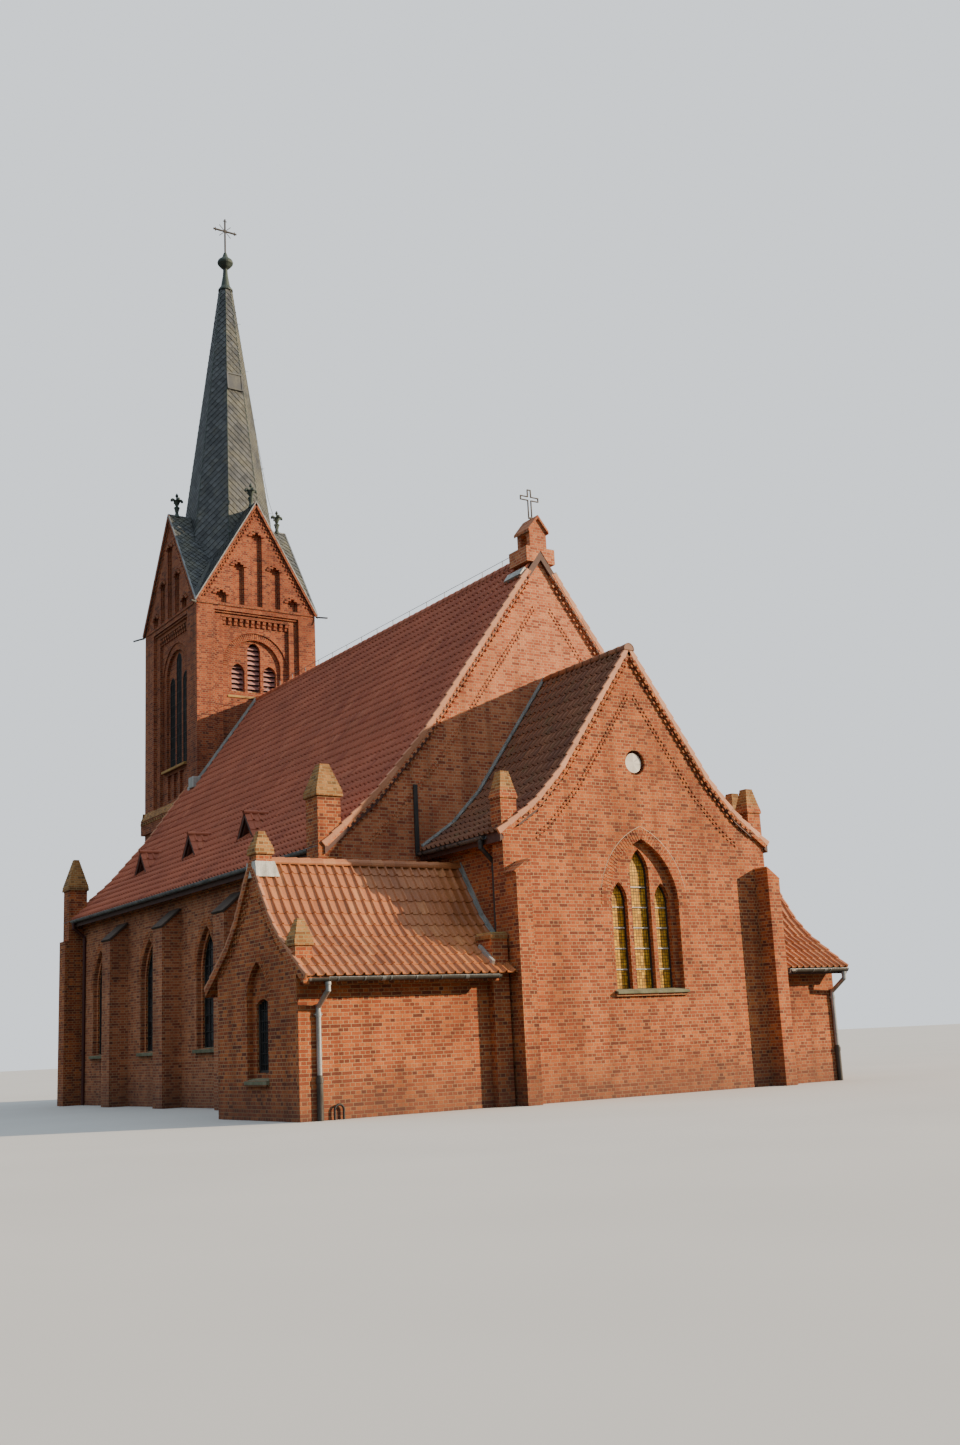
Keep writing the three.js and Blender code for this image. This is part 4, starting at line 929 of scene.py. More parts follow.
@dataclass(frozen=True)
class PanTiles:
    """Interlocking pan tiles: a flat pan with a roll at one side, each course lapping the next."""

    width: float = 0.212
    gauge: float = 0.353
    lap: float = 0.055
    thickness: float = 0.014
    tail_lift: float = 0.014
    roll_open: float = 0.02
    roll_sink: float = 0.024
    section: tuple[float, ...] = (0.0, -0.004, -0.005, -0.005, -0.004, 0.002, 0.044, 0.047, 0.0)

    def tile(self) -> Piece:
        """Models one tile: X across from its left side, Y up from its tail, Z out.

        Returns:
            The tile.
        """
        put_down()
        steps = len(self.section) - 1
        length = self.gauge + self.lap
        bpy.ops.mesh.primitive_grid_add(
            x_subdivisions=steps, y_subdivisions=1, size=1, location=(0.5, 0.5, 0.012)
        )
        piece = settle("tile")
        with shaping(piece):
            bpy.ops.mesh.select_all(action="SELECT")
            bpy.ops.transform.resize(value=(self.width, length, 1), center_override=(0, 0, 0))
            for i, rise in enumerate(self.section):
                place = self.width * i / steps
                shift_points(piece, lambda v, p=place: abs(v.x - p) < 0.002, (0, 0, rise))
            # The roll widens towards the tail, where its open end throws a small dark shadow
            shift_points(piece, lambda v: v.z > 0.04 and v.y > 0.01, (0, 0, -self.roll_sink))
            shift_points(piece, lambda v: v.z > 0.04 and v.y < 0.01, (0, 0, self.roll_open))
            shift_points(piece, lambda v: v.y < 0.01, (0, 0, self.tail_lift))
            shift_points(piece, lambda v: v.x > self.width - 0.002, (0.006, 0, 0))
        return apply_modifier(piece, "SOLIDIFY", thickness=self.thickness, offset=-1)

    def mouth(self) -> Piece:
        """Models a near-black block of painted shade in the hollow under the open end of a tile's roll."""
        high = max(self.section) + self.roll_open + self.tail_lift
        return block((0.70 * self.width, 0.008, 0.0), (0.94 * self.width, 0.016, high - 0.006), "mouth")

    def lay(
        self,
        name: str,
        line: RoofLine,
        spans: Sequence[tuple[float, float, float]],
        overhang: float = 0.05,
        shape: Callable[[], Piece] | None = None,
    ) -> Piece:
        """Lays tiles over a slope that looks south.

        Args:
            name: The roof's name.
            line: The slope.
            spans: For each stretch, the distance from the ridge where it ends and its two sides.
            overhang: How far the lowest course hangs over the eave.
            shape: What is laid in each tile's place, the tile itself when left out.

        Returns:
            The tiles, as one piece.
        """
        courses = round(line.length() / self.gauge)
        gauge = (line.length() + overhang) / courses
        patterns: dict[tuple[float, float], Piece] = {}
        laid = []
        for i in range(courses):
            low = line.length() + overhang - i * gauge
            high = max(low - gauge, 0.0)
            distance = line.at((low + high) / 2).x
            _, left, right = next(span for span in spans if distance <= span[0])
            if (left, right) not in patterns:
                count = round((right - left) / self.width)
                row = repeat((shape or self.tile)(), count, (self.width, 0, 0))
                fit = Matrix.Scale((right - left) / (count * self.width), 4, (1, 0, 0))
                patterns[(left, right)] = moved(row, fit)
            reach = gauge + (self.lap if i < courses - 1 else 0.0)
            stretch = Matrix.Scale(reach / (self.gauge + self.lap), 4, (0, 1, 0))
            laid.append(copied(patterns[(left, right)], slope_frame(line, low, high, left) @ stretch))
        scrap(*patterns.values())
        return gather(name, laid)


@dataclass(frozen=True)
class VergeTiles:
    """Thick edge tiles that close a roof at its gable, one to a course."""

    outer: float
    width: float = 0.065
    top: float = 0.048
    bottom: float = -0.08
    gauge: float = 0.353

    def lay(self, name: str, line: RoofLine, side: int, start: float) -> Piece:
        """Lays edge tiles down a slope that looks south.

        Args:
            name: The row's name.
            line: The slope.
            side: 1 where the gable is at the slope's right, -1 at its left.
            start: The run of the highest tile.

        Returns:
            The row, as one piece.
        """
        low_end = line.length() + 0.05
        count = round((low_end - start) / self.gauge)
        gauge = (low_end - start) / count
        inner = self.outer - side * self.width
        left, right = sorted((inner, self.outer))
        pattern = block((left, 0, self.bottom), (right, gauge + 0.03, self.top), "verge")
        with shaping(pattern):
            shift_points(pattern, lambda v: v.y < 0.01 and v.z > 0, (0, 0, 0.034))
            shift_points(pattern, lambda v: v.y > 0.01 and v.z < 0, (0, 0, 0.03))
        soften(pattern, 0.014, 2)
        laid = []
        for i in range(count):
            low = low_end - i * gauge
            laid.append(copied(pattern, slope_frame(line, low, low - gauge)))
        scrap(pattern)
        return gather(name, laid)


@dataclass(frozen=True)
class ToothRow:
    """Header bricks that stick out of a gable in a row along its rake."""

    length: float = 0.10
    height: float = 0.055
    out: float = 0.032
    pitch: float = 0.24

    def lay(self, name: str, line: RoofLine, inset: float, start: float, end: float, side: int) -> Piece:
        """Lays a row parallel to a slope, on a gable that looks south in its own axes.

        Args:
            name: The row's name.
            line: The slope whose rake it follows.
            inset: How far below the slope the row's middle runs, square to it.
            start: The run of the highest tooth.
            end: The run of the lowest.
            side: 1 for the rake at the gable's right, -1 at its left.

        Returns:
            The row, as one piece.
        """
        h = self.height / 2
        tooth = soften(block((-self.length / 2, -self.out, -h), (self.length / 2, 0.02, h), "tooth"), 0.006)
        laid = []
        count = int((end - start) / self.pitch)
        for i in range(count + 1):
            run = start + i * self.pitch
            upper, lower = line.at(run - 0.35), line.at(run + 0.35)
            down = (lower - upper).normalized()
            spot = line.at(run) + Vector((down.y, -down.x)) * inset
            angle = -side * math.atan2(-down.y, down.x)
            turn = Matrix.Rotation(-angle, 4, "Y")
            laid.append(copied(tooth, Matrix.Translation((side * spot.x, 0, spot.y)) @ turn))
        scrap(tooth)
        return gather(name, laid)


def gable_teeth(
    name: str, line: RoofLine, rows: Sequence[tuple[ToothRow, float, float, float, float]]
) -> Piece:
    """Lays rows of teeth along both rakes of a gable that looks south in its own axes.

    Args:
        name: The teeth's name.
        line: The slope whose rakes they follow.
        rows: Each row's teeth, its inset, the runs of its highest and lowest tooth, and how far
            it stands before the wall.

    Returns:
        The teeth, as one piece.
    """
    laid = []
    for side in (-1, 1):
        for teeth, inset, start, end, before in rows:
            row = teeth.lay("teeth", line, inset, start, end, side)
            laid.append(moved(row, Matrix.Translation((0, -before, 0))))
    return gather(name, laid)


@dataclass(frozen=True)
class Lancet:
    """A pointed opening in a wall that looks south in its own axes."""

    half: float
    sill: float
    spring: float
    apex: float
    centre: float = 0.0

    def radius(self) -> float:
        """The radius of either side of its arch."""
        rise = self.apex - self.spring
        return (self.half**2 + rise**2) / (2 * self.half)

    def sweep(self) -> float:
        """The angle that either side of its arch turns through."""
        return math.asin(min(1.0, (self.apex - self.spring) / self.radius()))

    def half_at(self, z: float) -> float:
        """How wide half of it is at a height."""
        if z <= self.spring:
            return self.half
        return self.half - self.radius() + math.sqrt(max(self.radius() ** 2 - (z - self.spring) ** 2, 0.0))

    def top_at(self, across: float) -> float:
        """How high it is at a distance from its middle."""
        reach = abs(across) + self.radius() - self.half
        return self.spring + math.sqrt(max(self.radius() ** 2 - reach**2, 0.0))

    def grown(self, margin: float, sill: float | None = None) -> "Lancet":
        """The outline a margin outside this one.

        Args:
            margin: How much wider it is on each side.
            sill: Where it starts, this one's sill if not given.

        Returns:
            The wider outline, with the same centres.
        """
        reach = self.radius() - self.half
        apex = self.spring + math.sqrt((self.radius() + margin) ** 2 - reach**2)
        return Lancet(self.half + margin, self.sill if sill is None else sill, self.spring, apex, self.centre)

    def voussoirs(self, name: str, depth: float, out: float, back: float) -> Piece:
        """Lays the arch's bricks on edge, fanned round it.

        Args:
            name: The ring's name.
            depth: How wide the ring is.
            out: How far it stands out of the wall.
            back: How far it goes into it.

        Returns:
            The ring, as one piece.
        """
        radius = self.radius()
        middle = radius + depth / 2
        count = max(3, round(middle * self.sweep() / BRICK_COURSE))
        joint = 0.012
        half = middle * self.sweep() / count / 2 - joint / 2
        sides = []
        arch_x = self.half - radius
        pattern = block((radius + arch_x, -out, -half), (radius + arch_x + depth, back, half), "voussoir")
        soften(pattern, 0.004)
        for i in range(count):
            angle = self.sweep() * (i + 0.5) / count
            turn = Matrix.Translation((arch_x, 0, self.spring)) @ Matrix.Rotation(-angle, 4, "Y")
            sides.append(copied(pattern, turn @ Matrix.Translation((-arch_x, 0, 0))))
        scrap(pattern)
        right = gather(name, sides)
        trim(right, (0, 0, 0), (-1, 0, 0))
        left = copied(right, Matrix.Scale(-1, 4, (1, 0, 0)))
        return moved(gather(name, [right, left]), Matrix.Translation((self.centre, 0, 0)))

    def band(self, name: str, width: float, front: float, back: float, steps: int = 8) -> Piece:
        """Runs a square band up both jambs and round the arch.

        Args:
            name: The band's name.
            width: Its width, outwards from the opening's edge; negative runs inside the edge.
            front: Its front face, as a place along the wall's Y.
            back: Its back face.
            steps: How many parts either side of the arch has.

        Returns:
            The band, as one piece.
        """
        edges = sorted((self.half, self.half + width))
        half_band = block((edges[0], front, self.sill), (edges[1], back, self.spring), name)
        with shaping(half_band):
            pick_faces(half_band, lambda c, n: n.z > 0.9)
            hub = (self.half - self.radius(), 0, self.spring)
            bpy.ops.mesh.spin(steps=steps, angle=self.sweep(), center=hub, axis=(0, 1, 0))
        trim(half_band, (0, 0, 0), (-1, 0, 0))
        other = copied(half_band, Matrix.Scale(-1, 4, (1, 0, 0)))
        whole = gather(name, [half_band, other])
        with shaping(whole):
            bpy.ops.mesh.select_all(action="SELECT")
            bpy.ops.mesh.normals_make_consistent(inside=False)
        return moved(whole, Matrix.Translation((self.centre, 0, 0)))

    def bars(
        self, name: str, depth: float, rows: Sequence[float], uprights: Sequence[float], size: float
    ) -> Piece:
        """Sets saddle bars and stanchions before the glass.

        Args:
            name: The bars' name.
            depth: Their place along the wall's Y.
            rows: The heights of the level bars.
            uprights: The places of the upright ones, from the opening's middle.
            size: Half the bars' thickness.

        Returns:
            The bars, as one piece.
        """
        made = []
        for z in rows:
            half = self.half_at(z) + 0.02
            made.append(rod((-half, depth, z), (half, depth, z), size, 6))
        for u in uprights:
            made.append(rod((u, depth, self.sill), (u, depth, self.top_at(u) + 0.02), size, 6))
        return moved(gather(name, made), Matrix.Translation((self.centre, 0, 0)))


@dataclass(frozen=True)
class RidgeTiles:
    """Half-round tiles over a ridge that runs along X, each with a collar over the next."""

    length: float = 0.33
    radius: float = 0.135
    thickness: float = 0.016

    def lay(self, name: str, start: float, end: float, base: float) -> Piece:
        """Lays ridge tiles from one end to the other.

        Args:
            name: The row's name.
            start: Where the row starts along X.
            end: Where it ends.
            base: The height of the tiles' centre line.

        Returns:
            The row.
        """
        count = round((end - start) / self.length)
        length = (end - start) / count
        put_down()
        bpy.ops.mesh.primitive_cylinder_add(
            vertices=16,
            radius=self.radius,
            depth=length,
            end_fill_type="NOTHING",
            location=(start + length / 2, 0, base),
            rotation=(0, math.pi / 2, 0),
        )
        tile = settle(name)
        with shaping(tile):
            bpy.ops.mesh.select_all(action="SELECT")
            bpy.ops.mesh.bisect(plane_co=(0, 0, base - 0.03), plane_no=(0, 0, -1), clear_outer=True)
            shift_points(tile, lambda v: v.x > start + length - 0.01, (0.035, 0, 0))
            pick_points(tile, lambda v: v.x > start + length)
            bpy.ops.transform.resize(value=(1, 1.16, 1.16), center_override=(0, 0, base))
        apply_modifier(tile, "SOLIDIFY", thickness=self.thickness, offset=-1)
        stop = rod((end - 0.02, 0, base), (end + 0.03, 0, base), self.radius * 1.1, 16)
        trim(stop, (0, 0, base - 0.03), (0, 0, -1))
        return gather(name, [repeat(tile, count, (length, 0, 0)), soften(stop, 0.008)])


@dataclass(frozen=True)
class GutterFittings:
    """Bead, brackets, joint collars and end caps of a half-round gutter that runs along X."""

    radius: float = 0.075
    bracket_pitch: float = 0.8
    collar_pitch: float = 3.0

    def strap(self, x: float, width: float, thickness: float) -> Piece:
        """Models a half ring under the trough.

        Args:
            x: Where it starts along the gutter.
            width: How wide it is.
            thickness: How thick it is.

        Returns:
            The half ring.
        """
        put_down()
        bpy.ops.mesh.primitive_cylinder_add(
            vertices=16,
            radius=self.radius + 0.004,
            depth=width,
            end_fill_type="NOTHING",
            location=(x + width / 2, 0, 0),
            rotation=(0, math.pi / 2, 0),
        )
        ring = settle("strap")
        with shaping(ring):
            bpy.ops.mesh.select_all(action="SELECT")
            bpy.ops.mesh.bisect(plane_co=(0, 0, 0.004), plane_no=(0, 0, 1), clear_outer=True)
        return apply_modifier(ring, "SOLIDIFY", thickness=thickness, offset=1)

    def fit(self, name: str, start: float, end: float, place: Matrix) -> Piece:
        """Fits out a trough whose axis lies on the local X axis, its outer side towards -Y.

        Args:
            name: The fittings' name.
            start: Where the trough starts.
            end: Where it ends.
            place: The move from those axes to the church's.

        Returns:
            The fittings.
        """
        length = end - start
        bead = rod((start, -self.radius, 0.004), (end, -self.radius, 0.004), 0.0085, 8)
        count = max(2, int(length / self.bracket_pitch))
        brackets = repeat(self.strap(start + 0.2, 0.03, 0.006), count, (self.bracket_pitch, 0, 0))
        count = max(1, int(length / self.collar_pitch))
        collars = repeat(self.strap(start + 1.2, 0.09, 0.004), count, (self.collar_pitch, 0, 0))
        caps = []
        for x in (start, end - 0.012):
            cap = rod((x, 0, 0), (x + 0.012, 0, 0), self.radius + 0.006, 16)
            trim(cap, (0, 0, 0.004), (0, 0, 1))
            caps.append(cap)
        return moved(gather(name, [bead, brackets, collars, *caps]), place)


def downpipe(wall: float, gutter_z: float, foot: float, radius: float = 0.053) -> Piece:
    """Models a painted sleeve over a downpipe, with its neck, socket collars and clamps.

    It stands at X = 0 against a wall that looks south in its own axes.

    Args:
        wall: How far the gutter's middle is from the wall.
        gutter_z: The height of the gutter's rim.
        foot: Where the pipe ends.
        radius: The sleeve's radius.

    Returns:
        The pipe.
    """
    bend = gutter_z - 0.55
    parts = [
        rod((0, -wall, gutter_z - 0.08), (0, -wall, gutter_z - 0.27), radius, 14),
        rod((0, -wall, gutter_z - 0.24), (0, -0.05, bend), radius, 14),
        rod((0, -0.05, bend + 0.04), (0, -0.05, foot), radius, 14),
        rod((0, -wall, gutter_z - 0.14), (0, -wall, gutter_z - 0.08), radius + 0.012, 14),
    ]
    for k in range(math.ceil((bend - foot) / 1.8)):
        z = bend - 0.1 - 1.8 * k
        parts.append(rod((0, -0.05, z), (0, -0.05, z - 0.09), radius + 0.01, 14))
        parts.append(soften(block((-0.085, -0.07, z - 0.06), (0.085, 0.0, z - 0.03)), 0.006))
    return gather("downpipe", parts)


def slanted(name: str, line: RoofLine, low: float, high: float, box: Box) -> Piece:
    """Lays a strip along part of a slope that looks south.

    Args:
        name: The strip's name.
        line: The slope.
        low: The run of its lower end.
        high: The run of its upper end.
        box: Its two sides across the slope, and its lower and upper face above the slope.

    Returns:
        The strip.
    """
    (left, right), (under, over) = box
    length = (line.at(low) - line.at(high)).length
    return moved(block((left, 0, under), (right, length, over), name), slope_frame(line, low, high))


def along_slope(name: str, line: RoofLine, start: float, end: float, box: Box) -> Piece:
    """Lays a strip down a bent slope, a part to each of its straight lengths.

    Args:
        name: The strip's name.
        line: The slope.
        start: The run of its upper end.
        end: The run of its lower end.
        box: Its two sides across the slope, and its lower and upper face above the slope.

    Returns:
        The strip.
    """
    bends = [line.run_at(distance) for distance, _ in line.points]
    stops = [start, *(run for run in bends if start + 0.05 < run < end - 0.05), end]
    parts = [slanted(name, line, low, high, box) for high, low in zip(stops, stops[1:])]
    return gather(name, parts)


@dataclass(frozen=True)
class SlateField:
    """Diamond slates laid point down, each a little proud of the two under it."""

    diagonal: float = 0.27
    thickness: float = 0.010
    tilt: float = 0.022

    def slate(self) -> Piece:
        """Models one slate about the origin: X across, Y up, Z out.

        Returns:
            The slate.
        """
        put_down()
        bpy.ops.mesh.primitive_circle_add(vertices=4, radius=self.diagonal * 0.53, fill_type="NGON")
        piece = settle("slate")
        with shaping(piece):
            bpy.ops.mesh.select_all(action="SELECT")
            bpy.ops.mesh.extrude_region_move(TRANSFORM_OT_translate={"value": (0, 0, self.thickness)})
            bpy.ops.mesh.select_all(action="SELECT")
            bpy.ops.mesh.normals_make_consistent(inside=False)
            shift_points(piece, lambda v: v.y < -0.05, (0, 0, self.tilt))
            shift_points(piece, lambda v: v.y > 0.05, (0, 0, -self.thickness))
        return piece

    def lay(self, name: str, width: float, height: float) -> Piece:
        """Covers a rectangle whose lower left corner is the origin.

        Args:
            name: The field's name.
            width: The rectangle's width.
            height: Its height.

        Returns:
            The slates, as one piece.
        """
        columns = math.ceil(width / self.diagonal) + 1
        rows = math.ceil(height / self.diagonal) + 1
        full = repeat(self.slate(), columns, (self.diagonal, 0, 0))
        between = copied(full, Matrix.Translation((self.diagonal / 2, self.diagonal / 2, 0)))
        pair = gather(name, [full, between])
        return repeat(pair, rows, (0, self.diagonal, 0))


def sloped_sill(
    name: str, half: float, top: float, out: float, back: float, height: float, fall: float
) -> Piece:
    """Models a sill whose top falls outwards, on a wall that looks south in its own axes.

    Args:
        name: The sill's name.
        half: Half its width.
        top: The height of its top at the back.
        out: How far it stands out of the wall.
        back: How far it goes in.
        height: How high its front is.
        fall: How much lower its front edge is.

    Returns:
        The sill.
    """
    piece = block((-half, -out, top - fall - height), (half, back, top), name)
    with shaping(piece):
        shift_points(piece, lambda v: v.y < 0.001 - out and v.z > top - 0.01, (0, 0, -fall))
    return soften(piece, 0.01, 2)


def stepped_cap(
    name: str, x: float, y: float, foot: float, tip: float, half: float, tip_half: float
) -> Piece:
    """Models a brick pyramid, each course set back on the one under it, cut flat at its top.

    Args:
        name: The cap's name.
        x: Its middle along the church.
        y: Its middle across the church.
        foot: The height it starts from.
        tip: Its top.
        half: Half its width at the foot.
        tip_half: Half its width at the top.

    Returns:
        The cap.
    """
    courses = max(2, round((tip - foot) / BRICK_COURSE))
    rise = (tip - foot) / courses
    back = (half - tip_half) / courses
    cap = block((x - half, y - half, foot), (x + half, y + half, foot + rise), name)
    with shaping(cap):
        pick_faces(cap, lambda c, n: n.z > 0.9)
        for i in range(1, courses):
            bpy.ops.mesh.inset(thickness=back * 0.6)
            bpy.ops.mesh.extrude_region_move(TRANSFORM_OT_translate={"value": (0, 0, rise)})
            ledge = half - back * (i - 0.4)
            scale = (ledge - back * 0.4) / ledge
            bpy.ops.transform.resize(value=(scale, scale, 1), center_override=(x, y, 0))
    return soften(cap, 0.006)


# The church's parts


@dataclass
class Nave:
    """The nave: tiled roof with dormers, rakes with brick teeth, lancet windows and buttresses."""

    line: RoofLine = RoofLine(((0.0, 14.10), (3.8, 8.87), (5.2, 7.28), (6.65, 6.0)))
    west: float = -18.75
    half: float = 6.3
    tower_east: float = -17.83
    tower_half: float = 2.4
    verge: float = 0.10
    windows: tuple[float, ...] = (-3.4, -7.75, -12.1, -16.45)
    buttresses: tuple[float, ...] = (-5.575, -9.925, -14.275)
    dormer_places: tuple[float, ...] = (-7.22, -11.32, -15.42)
    gutter_out: float = 0.4253
    gutter_z: float = 5.94
    opening: Lancet = Lancet(half=0.5, sill=1.56, spring=3.55, apex=4.64)
    tiles: PanTiles = PanTiles()

    def roof(self) -> None:
        """Lays the tiles of both slopes."""
        west_edge = self.west - 0.06
        spans = ((self.tower_half + 0.1, self.tower_east + 0.02, 0.02), (TO_EAVE, west_edge, 0.02))
        turned = tuple((d, -right, -left) for d, left, right in spans)
        # Each roll's mouth gets a near-black block of painted shade
        kinds = (("tiles", self.tiles.tile, NAVE_TILE), ("roll_mouth_shades", self.tiles.mouth, ROLL_SHADE_CLAY))
        for kind, shape, finish in kinds:
            south = self.tiles.lay(f"nave_{kind}_south", self.line, spans, shape=shape)
            north = self.tiles.lay(f"nave_{kind}_north", self.line, turned, shape=shape)
            moved(north, Facing.NORTH.frame(0, 0))
            hand_over(south, finish, "nave_tile")
            hand_over(north, finish, "nave_tile")

    def rakes(self) -> None:
        """Closes the roof's ends with verge tiles and lays the teeth under them."""
        east = VergeTiles(outer=self.verge)
        west = VergeTiles(outer=self.west - 0.10)
        rows = []
        for name, maker, side, start in (("east", east, 1, 0.75), ("west", west, -1, 3.1)):
            row = maker.lay(f"nave_verge_{name}", self.line, side, start)
            rows += [row, mirrored(row)]
        hand_over(gather("nave_verge_tiles", rows), VERGE_TILE, "nave_tile")
        courses = []
        for start, (low, high) in ((0.7, (-0.01, 0.094)), (3.05, (self.west - 0.094, self.west + 0.01))):
            for out, under, over in ((0.0, -0.168, -0.11), (0.02, -0.105, -0.05)):
                ends = (low, high - 0.02 + out) if high > 0 else (low + 0.02 - out, high)
                box = (ends, (under, over))
                courses.append(along_slope("rake", self.line, start, self.line.length(), box))
        hand_over(both_sides("nave_rake_courses", gather("rake", courses)), GABLE_BRICK, "brick")
        end = self.line.run_at(6.15)
        small = ToothRow(0.06, 0.042, 0.022, 0.12)
        rows = (
            (ToothRow(0.08, 0.05, 0.03, 0.177), 0.12, 0.9, end, 0.09),
            (ToothRow(0.08, 0.06, 0.05, 0.177), 0.225, 0.99, end, 0.0),
            (small, 0.70, 1.45, end - 0.3, 0.0),
            (small, 0.785, 1.51, end - 0.3, 0.0),
        )
        teeth = moved(gable_teeth("nave_gable_teeth", self.line, rows), Facing.EAST.frame(0, 0))
        hand_over(teeth, GABLE_BRICK, "brick")

    def ridge(self) -> None:
        """Lays the ridge tiles and stretches the wire over them on its posts."""
        row = RidgeTiles().lay("nave_ridge_row", self.tower_east + 0.02, -0.73, 14.035)
        hand_over(row, NAVE_TILE, "nave_tile", ("nave_ridge_tiles",))
        post = rod((-17.0, 0, 14.1), (-17.0, 0, 14.37), 0.011, 6)
        posts = repeat(post, 16, (1.02, 0, 0))
        wire = rod((self.tower_east, 0, 14.36), (-0.8, 0, 14.36), 0.009, 6)
        hand_over(gather("ridge_wire", [posts, wire]), ZINC, "zinc")

    def window_parts(self) -> dict[str, Piece]:
        """Models one window's pieces about the middle of its opening at the wall's face.

        Returns:
            Each kind of piece by its name.
        """
        outer = self.opening.grown(0.22)
        rows = [self.opening.sill + 0.44 * k for k in range(1, 7)]
        return {
            "ring": outer.voussoirs("ring", 0.23, 0.008, 0.03),
            "jamb": self.opening.band("jamb", 0.11, 0.09, 0.19),
            "pane": self.opening.band("pane", -0.5, 0.183, 0.20),
            "frame": self.opening.band("frame", -0.03, 0.15, 0.19),
            "bars": self.opening.bars("bars", 0.172, rows, (-0.17, 0.17), 0.012),
            "sill": sloped_sill("sill", 0.79, self.opening.sill + 0.03, 0.11, 0.2, 0.09, 0.06),
        }

    def on_walls(self, part: Piece, places: Sequence[float]) -> list[Piece]:
        """Copies a pattern to places along both long walls.

        Args:
            part: The pattern, on a wall that looks south in its own axes.
            places: Where along the church the copies stand.

        Returns:
            The copies.
        """
        walls = ((Facing.SOUTH, -self.half), (Facing.NORTH, self.half))
        return [copied(part, facing.frame(x, y)) for facing, y in walls for x in places]

    def window_rows(self) -> None:
        """Sets rings, jambs, frames, bars and sills on both long walls."""
        parts = self.window_parts()
        dressed = {
            "ring": (BRICK, "brick"),
            "jamb": (BRICK, "brick"),
            "pane": (GLASS, "glass"),
            "frame": (IRON, "iron"),
            "bars": (IRON, "iron"),
            "sill": (SILL_STONE, "brick"),
        }
        for kind, part in parts.items():
            hand_over(gather(f"nave_window_{kind}s", self.on_walls(part, self.windows)), *dressed[kind])
        scrap(*parts.values())

    def buttress_caps(self) -> None:
        """Covers each buttress with a sloping slab."""
        angle = math.atan2(0.5, 0.57)
        cap = block((-0.405, -0.765, 0.0), (0.405, 0.0, 0.07), "cap")
        soften(cap, 0.012, 2)
        moved(cap, Matrix.Translation((0, 0, 5.455)) @ Matrix.Rotation(angle, 4, "X"))
        caps = self.on_walls(cap, self.buttresses)
        scrap(cap)
        hand_over(gather("nave_buttress_caps", caps), CAP_STONE, "brick")

    def cornice(self) -> None:
        """Steps the bricks out under both eaves."""
        steps = ((0.035, 5.68, 5.757), (0.075, 5.757, 5.834), (0.12, 5.834, 5.93))
        parts = []
        for out, low, high in steps:
            parts.append(eased((-18.2, -out, low), (-0.55, 0.02, high)))
        south = moved(gather("nave_cornice", parts), Facing.SOUTH.frame(0, -self.half))
        hand_over(both_sides("nave_cornices", south), BRICK, "brick")

    def pier_caps(self) -> None:
        """Caps the four corner piers and bands their shafts."""
        caps = []
        for y in (-6.5, 6.5):
            caps.append(stepped_cap("cap", -0.25, y, 7.19, 7.90, 0.34, 0.1))
            caps.append(stepped_cap("cap", -18.5, y, 7.06, 8.04, 0.34, 0.068))
            caps.append(eased((-0.60, y - 0.35, 7.105), (0.10, y + 0.35, 7.19), 0.01))
            caps.append(eased((-18.85, y - 0.35, 6.975), (-18.15, y + 0.35, 7.06), 0.01))
        hand_over(gather("nave_pier_caps", caps), CAP_BRICK, "brick")

    def flashings(self) -> None:
        """Lays lead where the nave's roof meets the tower and the shrine."""
        foot = self.line.run_at(self.tower_half)
        box = ((self.tower_east - 0.02, self.tower_east + 0.08), (0.05, 0.075))
        upstand = ((self.tower_east - 0.02, self.tower_east + 0.012), (0.0, 0.13))
        parts = []
        for shape in (box, upstand):
            parts.append(along_slope("flashing", self.line, 0.05, foot, shape))
        shrine = ((-0.74, 0.05), (0.03, 0.12))
        parts.append(along_slope("flashing", self.line, 0.72, 0.98, shrine))
        parts.append(eased((-18.05, -2.66, 10.62), (-17.62, -2.36, 11.02), 0.03, 2))
        parts.append(eased((-18.3, -2.6, 10.5), (-18.02, -2.38, 10.74), 0.03, 2))
        hand_over(both_sides("nave_flashings", gather("flashing", parts)), LEAD, "zinc")

    def dormers(self) -> None:
        """Tiles the small dormers and fills their mouths with near-black panels of painted shade."""
        ridge, eave, half = 7.94, 7.13, 0.60
        line = RoofLine(((0.0, ridge), (half, eave)))
        tiles = PanTiles(gauge=0.3, lap=0.04)
        east = tiles.lay("dormer_tiles", line, ((TO_EAVE, -5.38, -4.5),), 0.03)
        moved(east, Facing.EAST.frame(0, 0))
        west = copied(east, Matrix.Scale(-1, 4, (1, 0, 0)))
        one = gather("dormer_tiles", [east, west])
        cap = RidgeTiles(length=0.22, radius=0.07, thickness=0.012).lay("dormer_ridge", -5.4, -4.6, 7.93)
        one = gather("dormer_tiles", [one, moved(cap, Matrix.Rotation(math.pi / 2, 4, "Z"))])
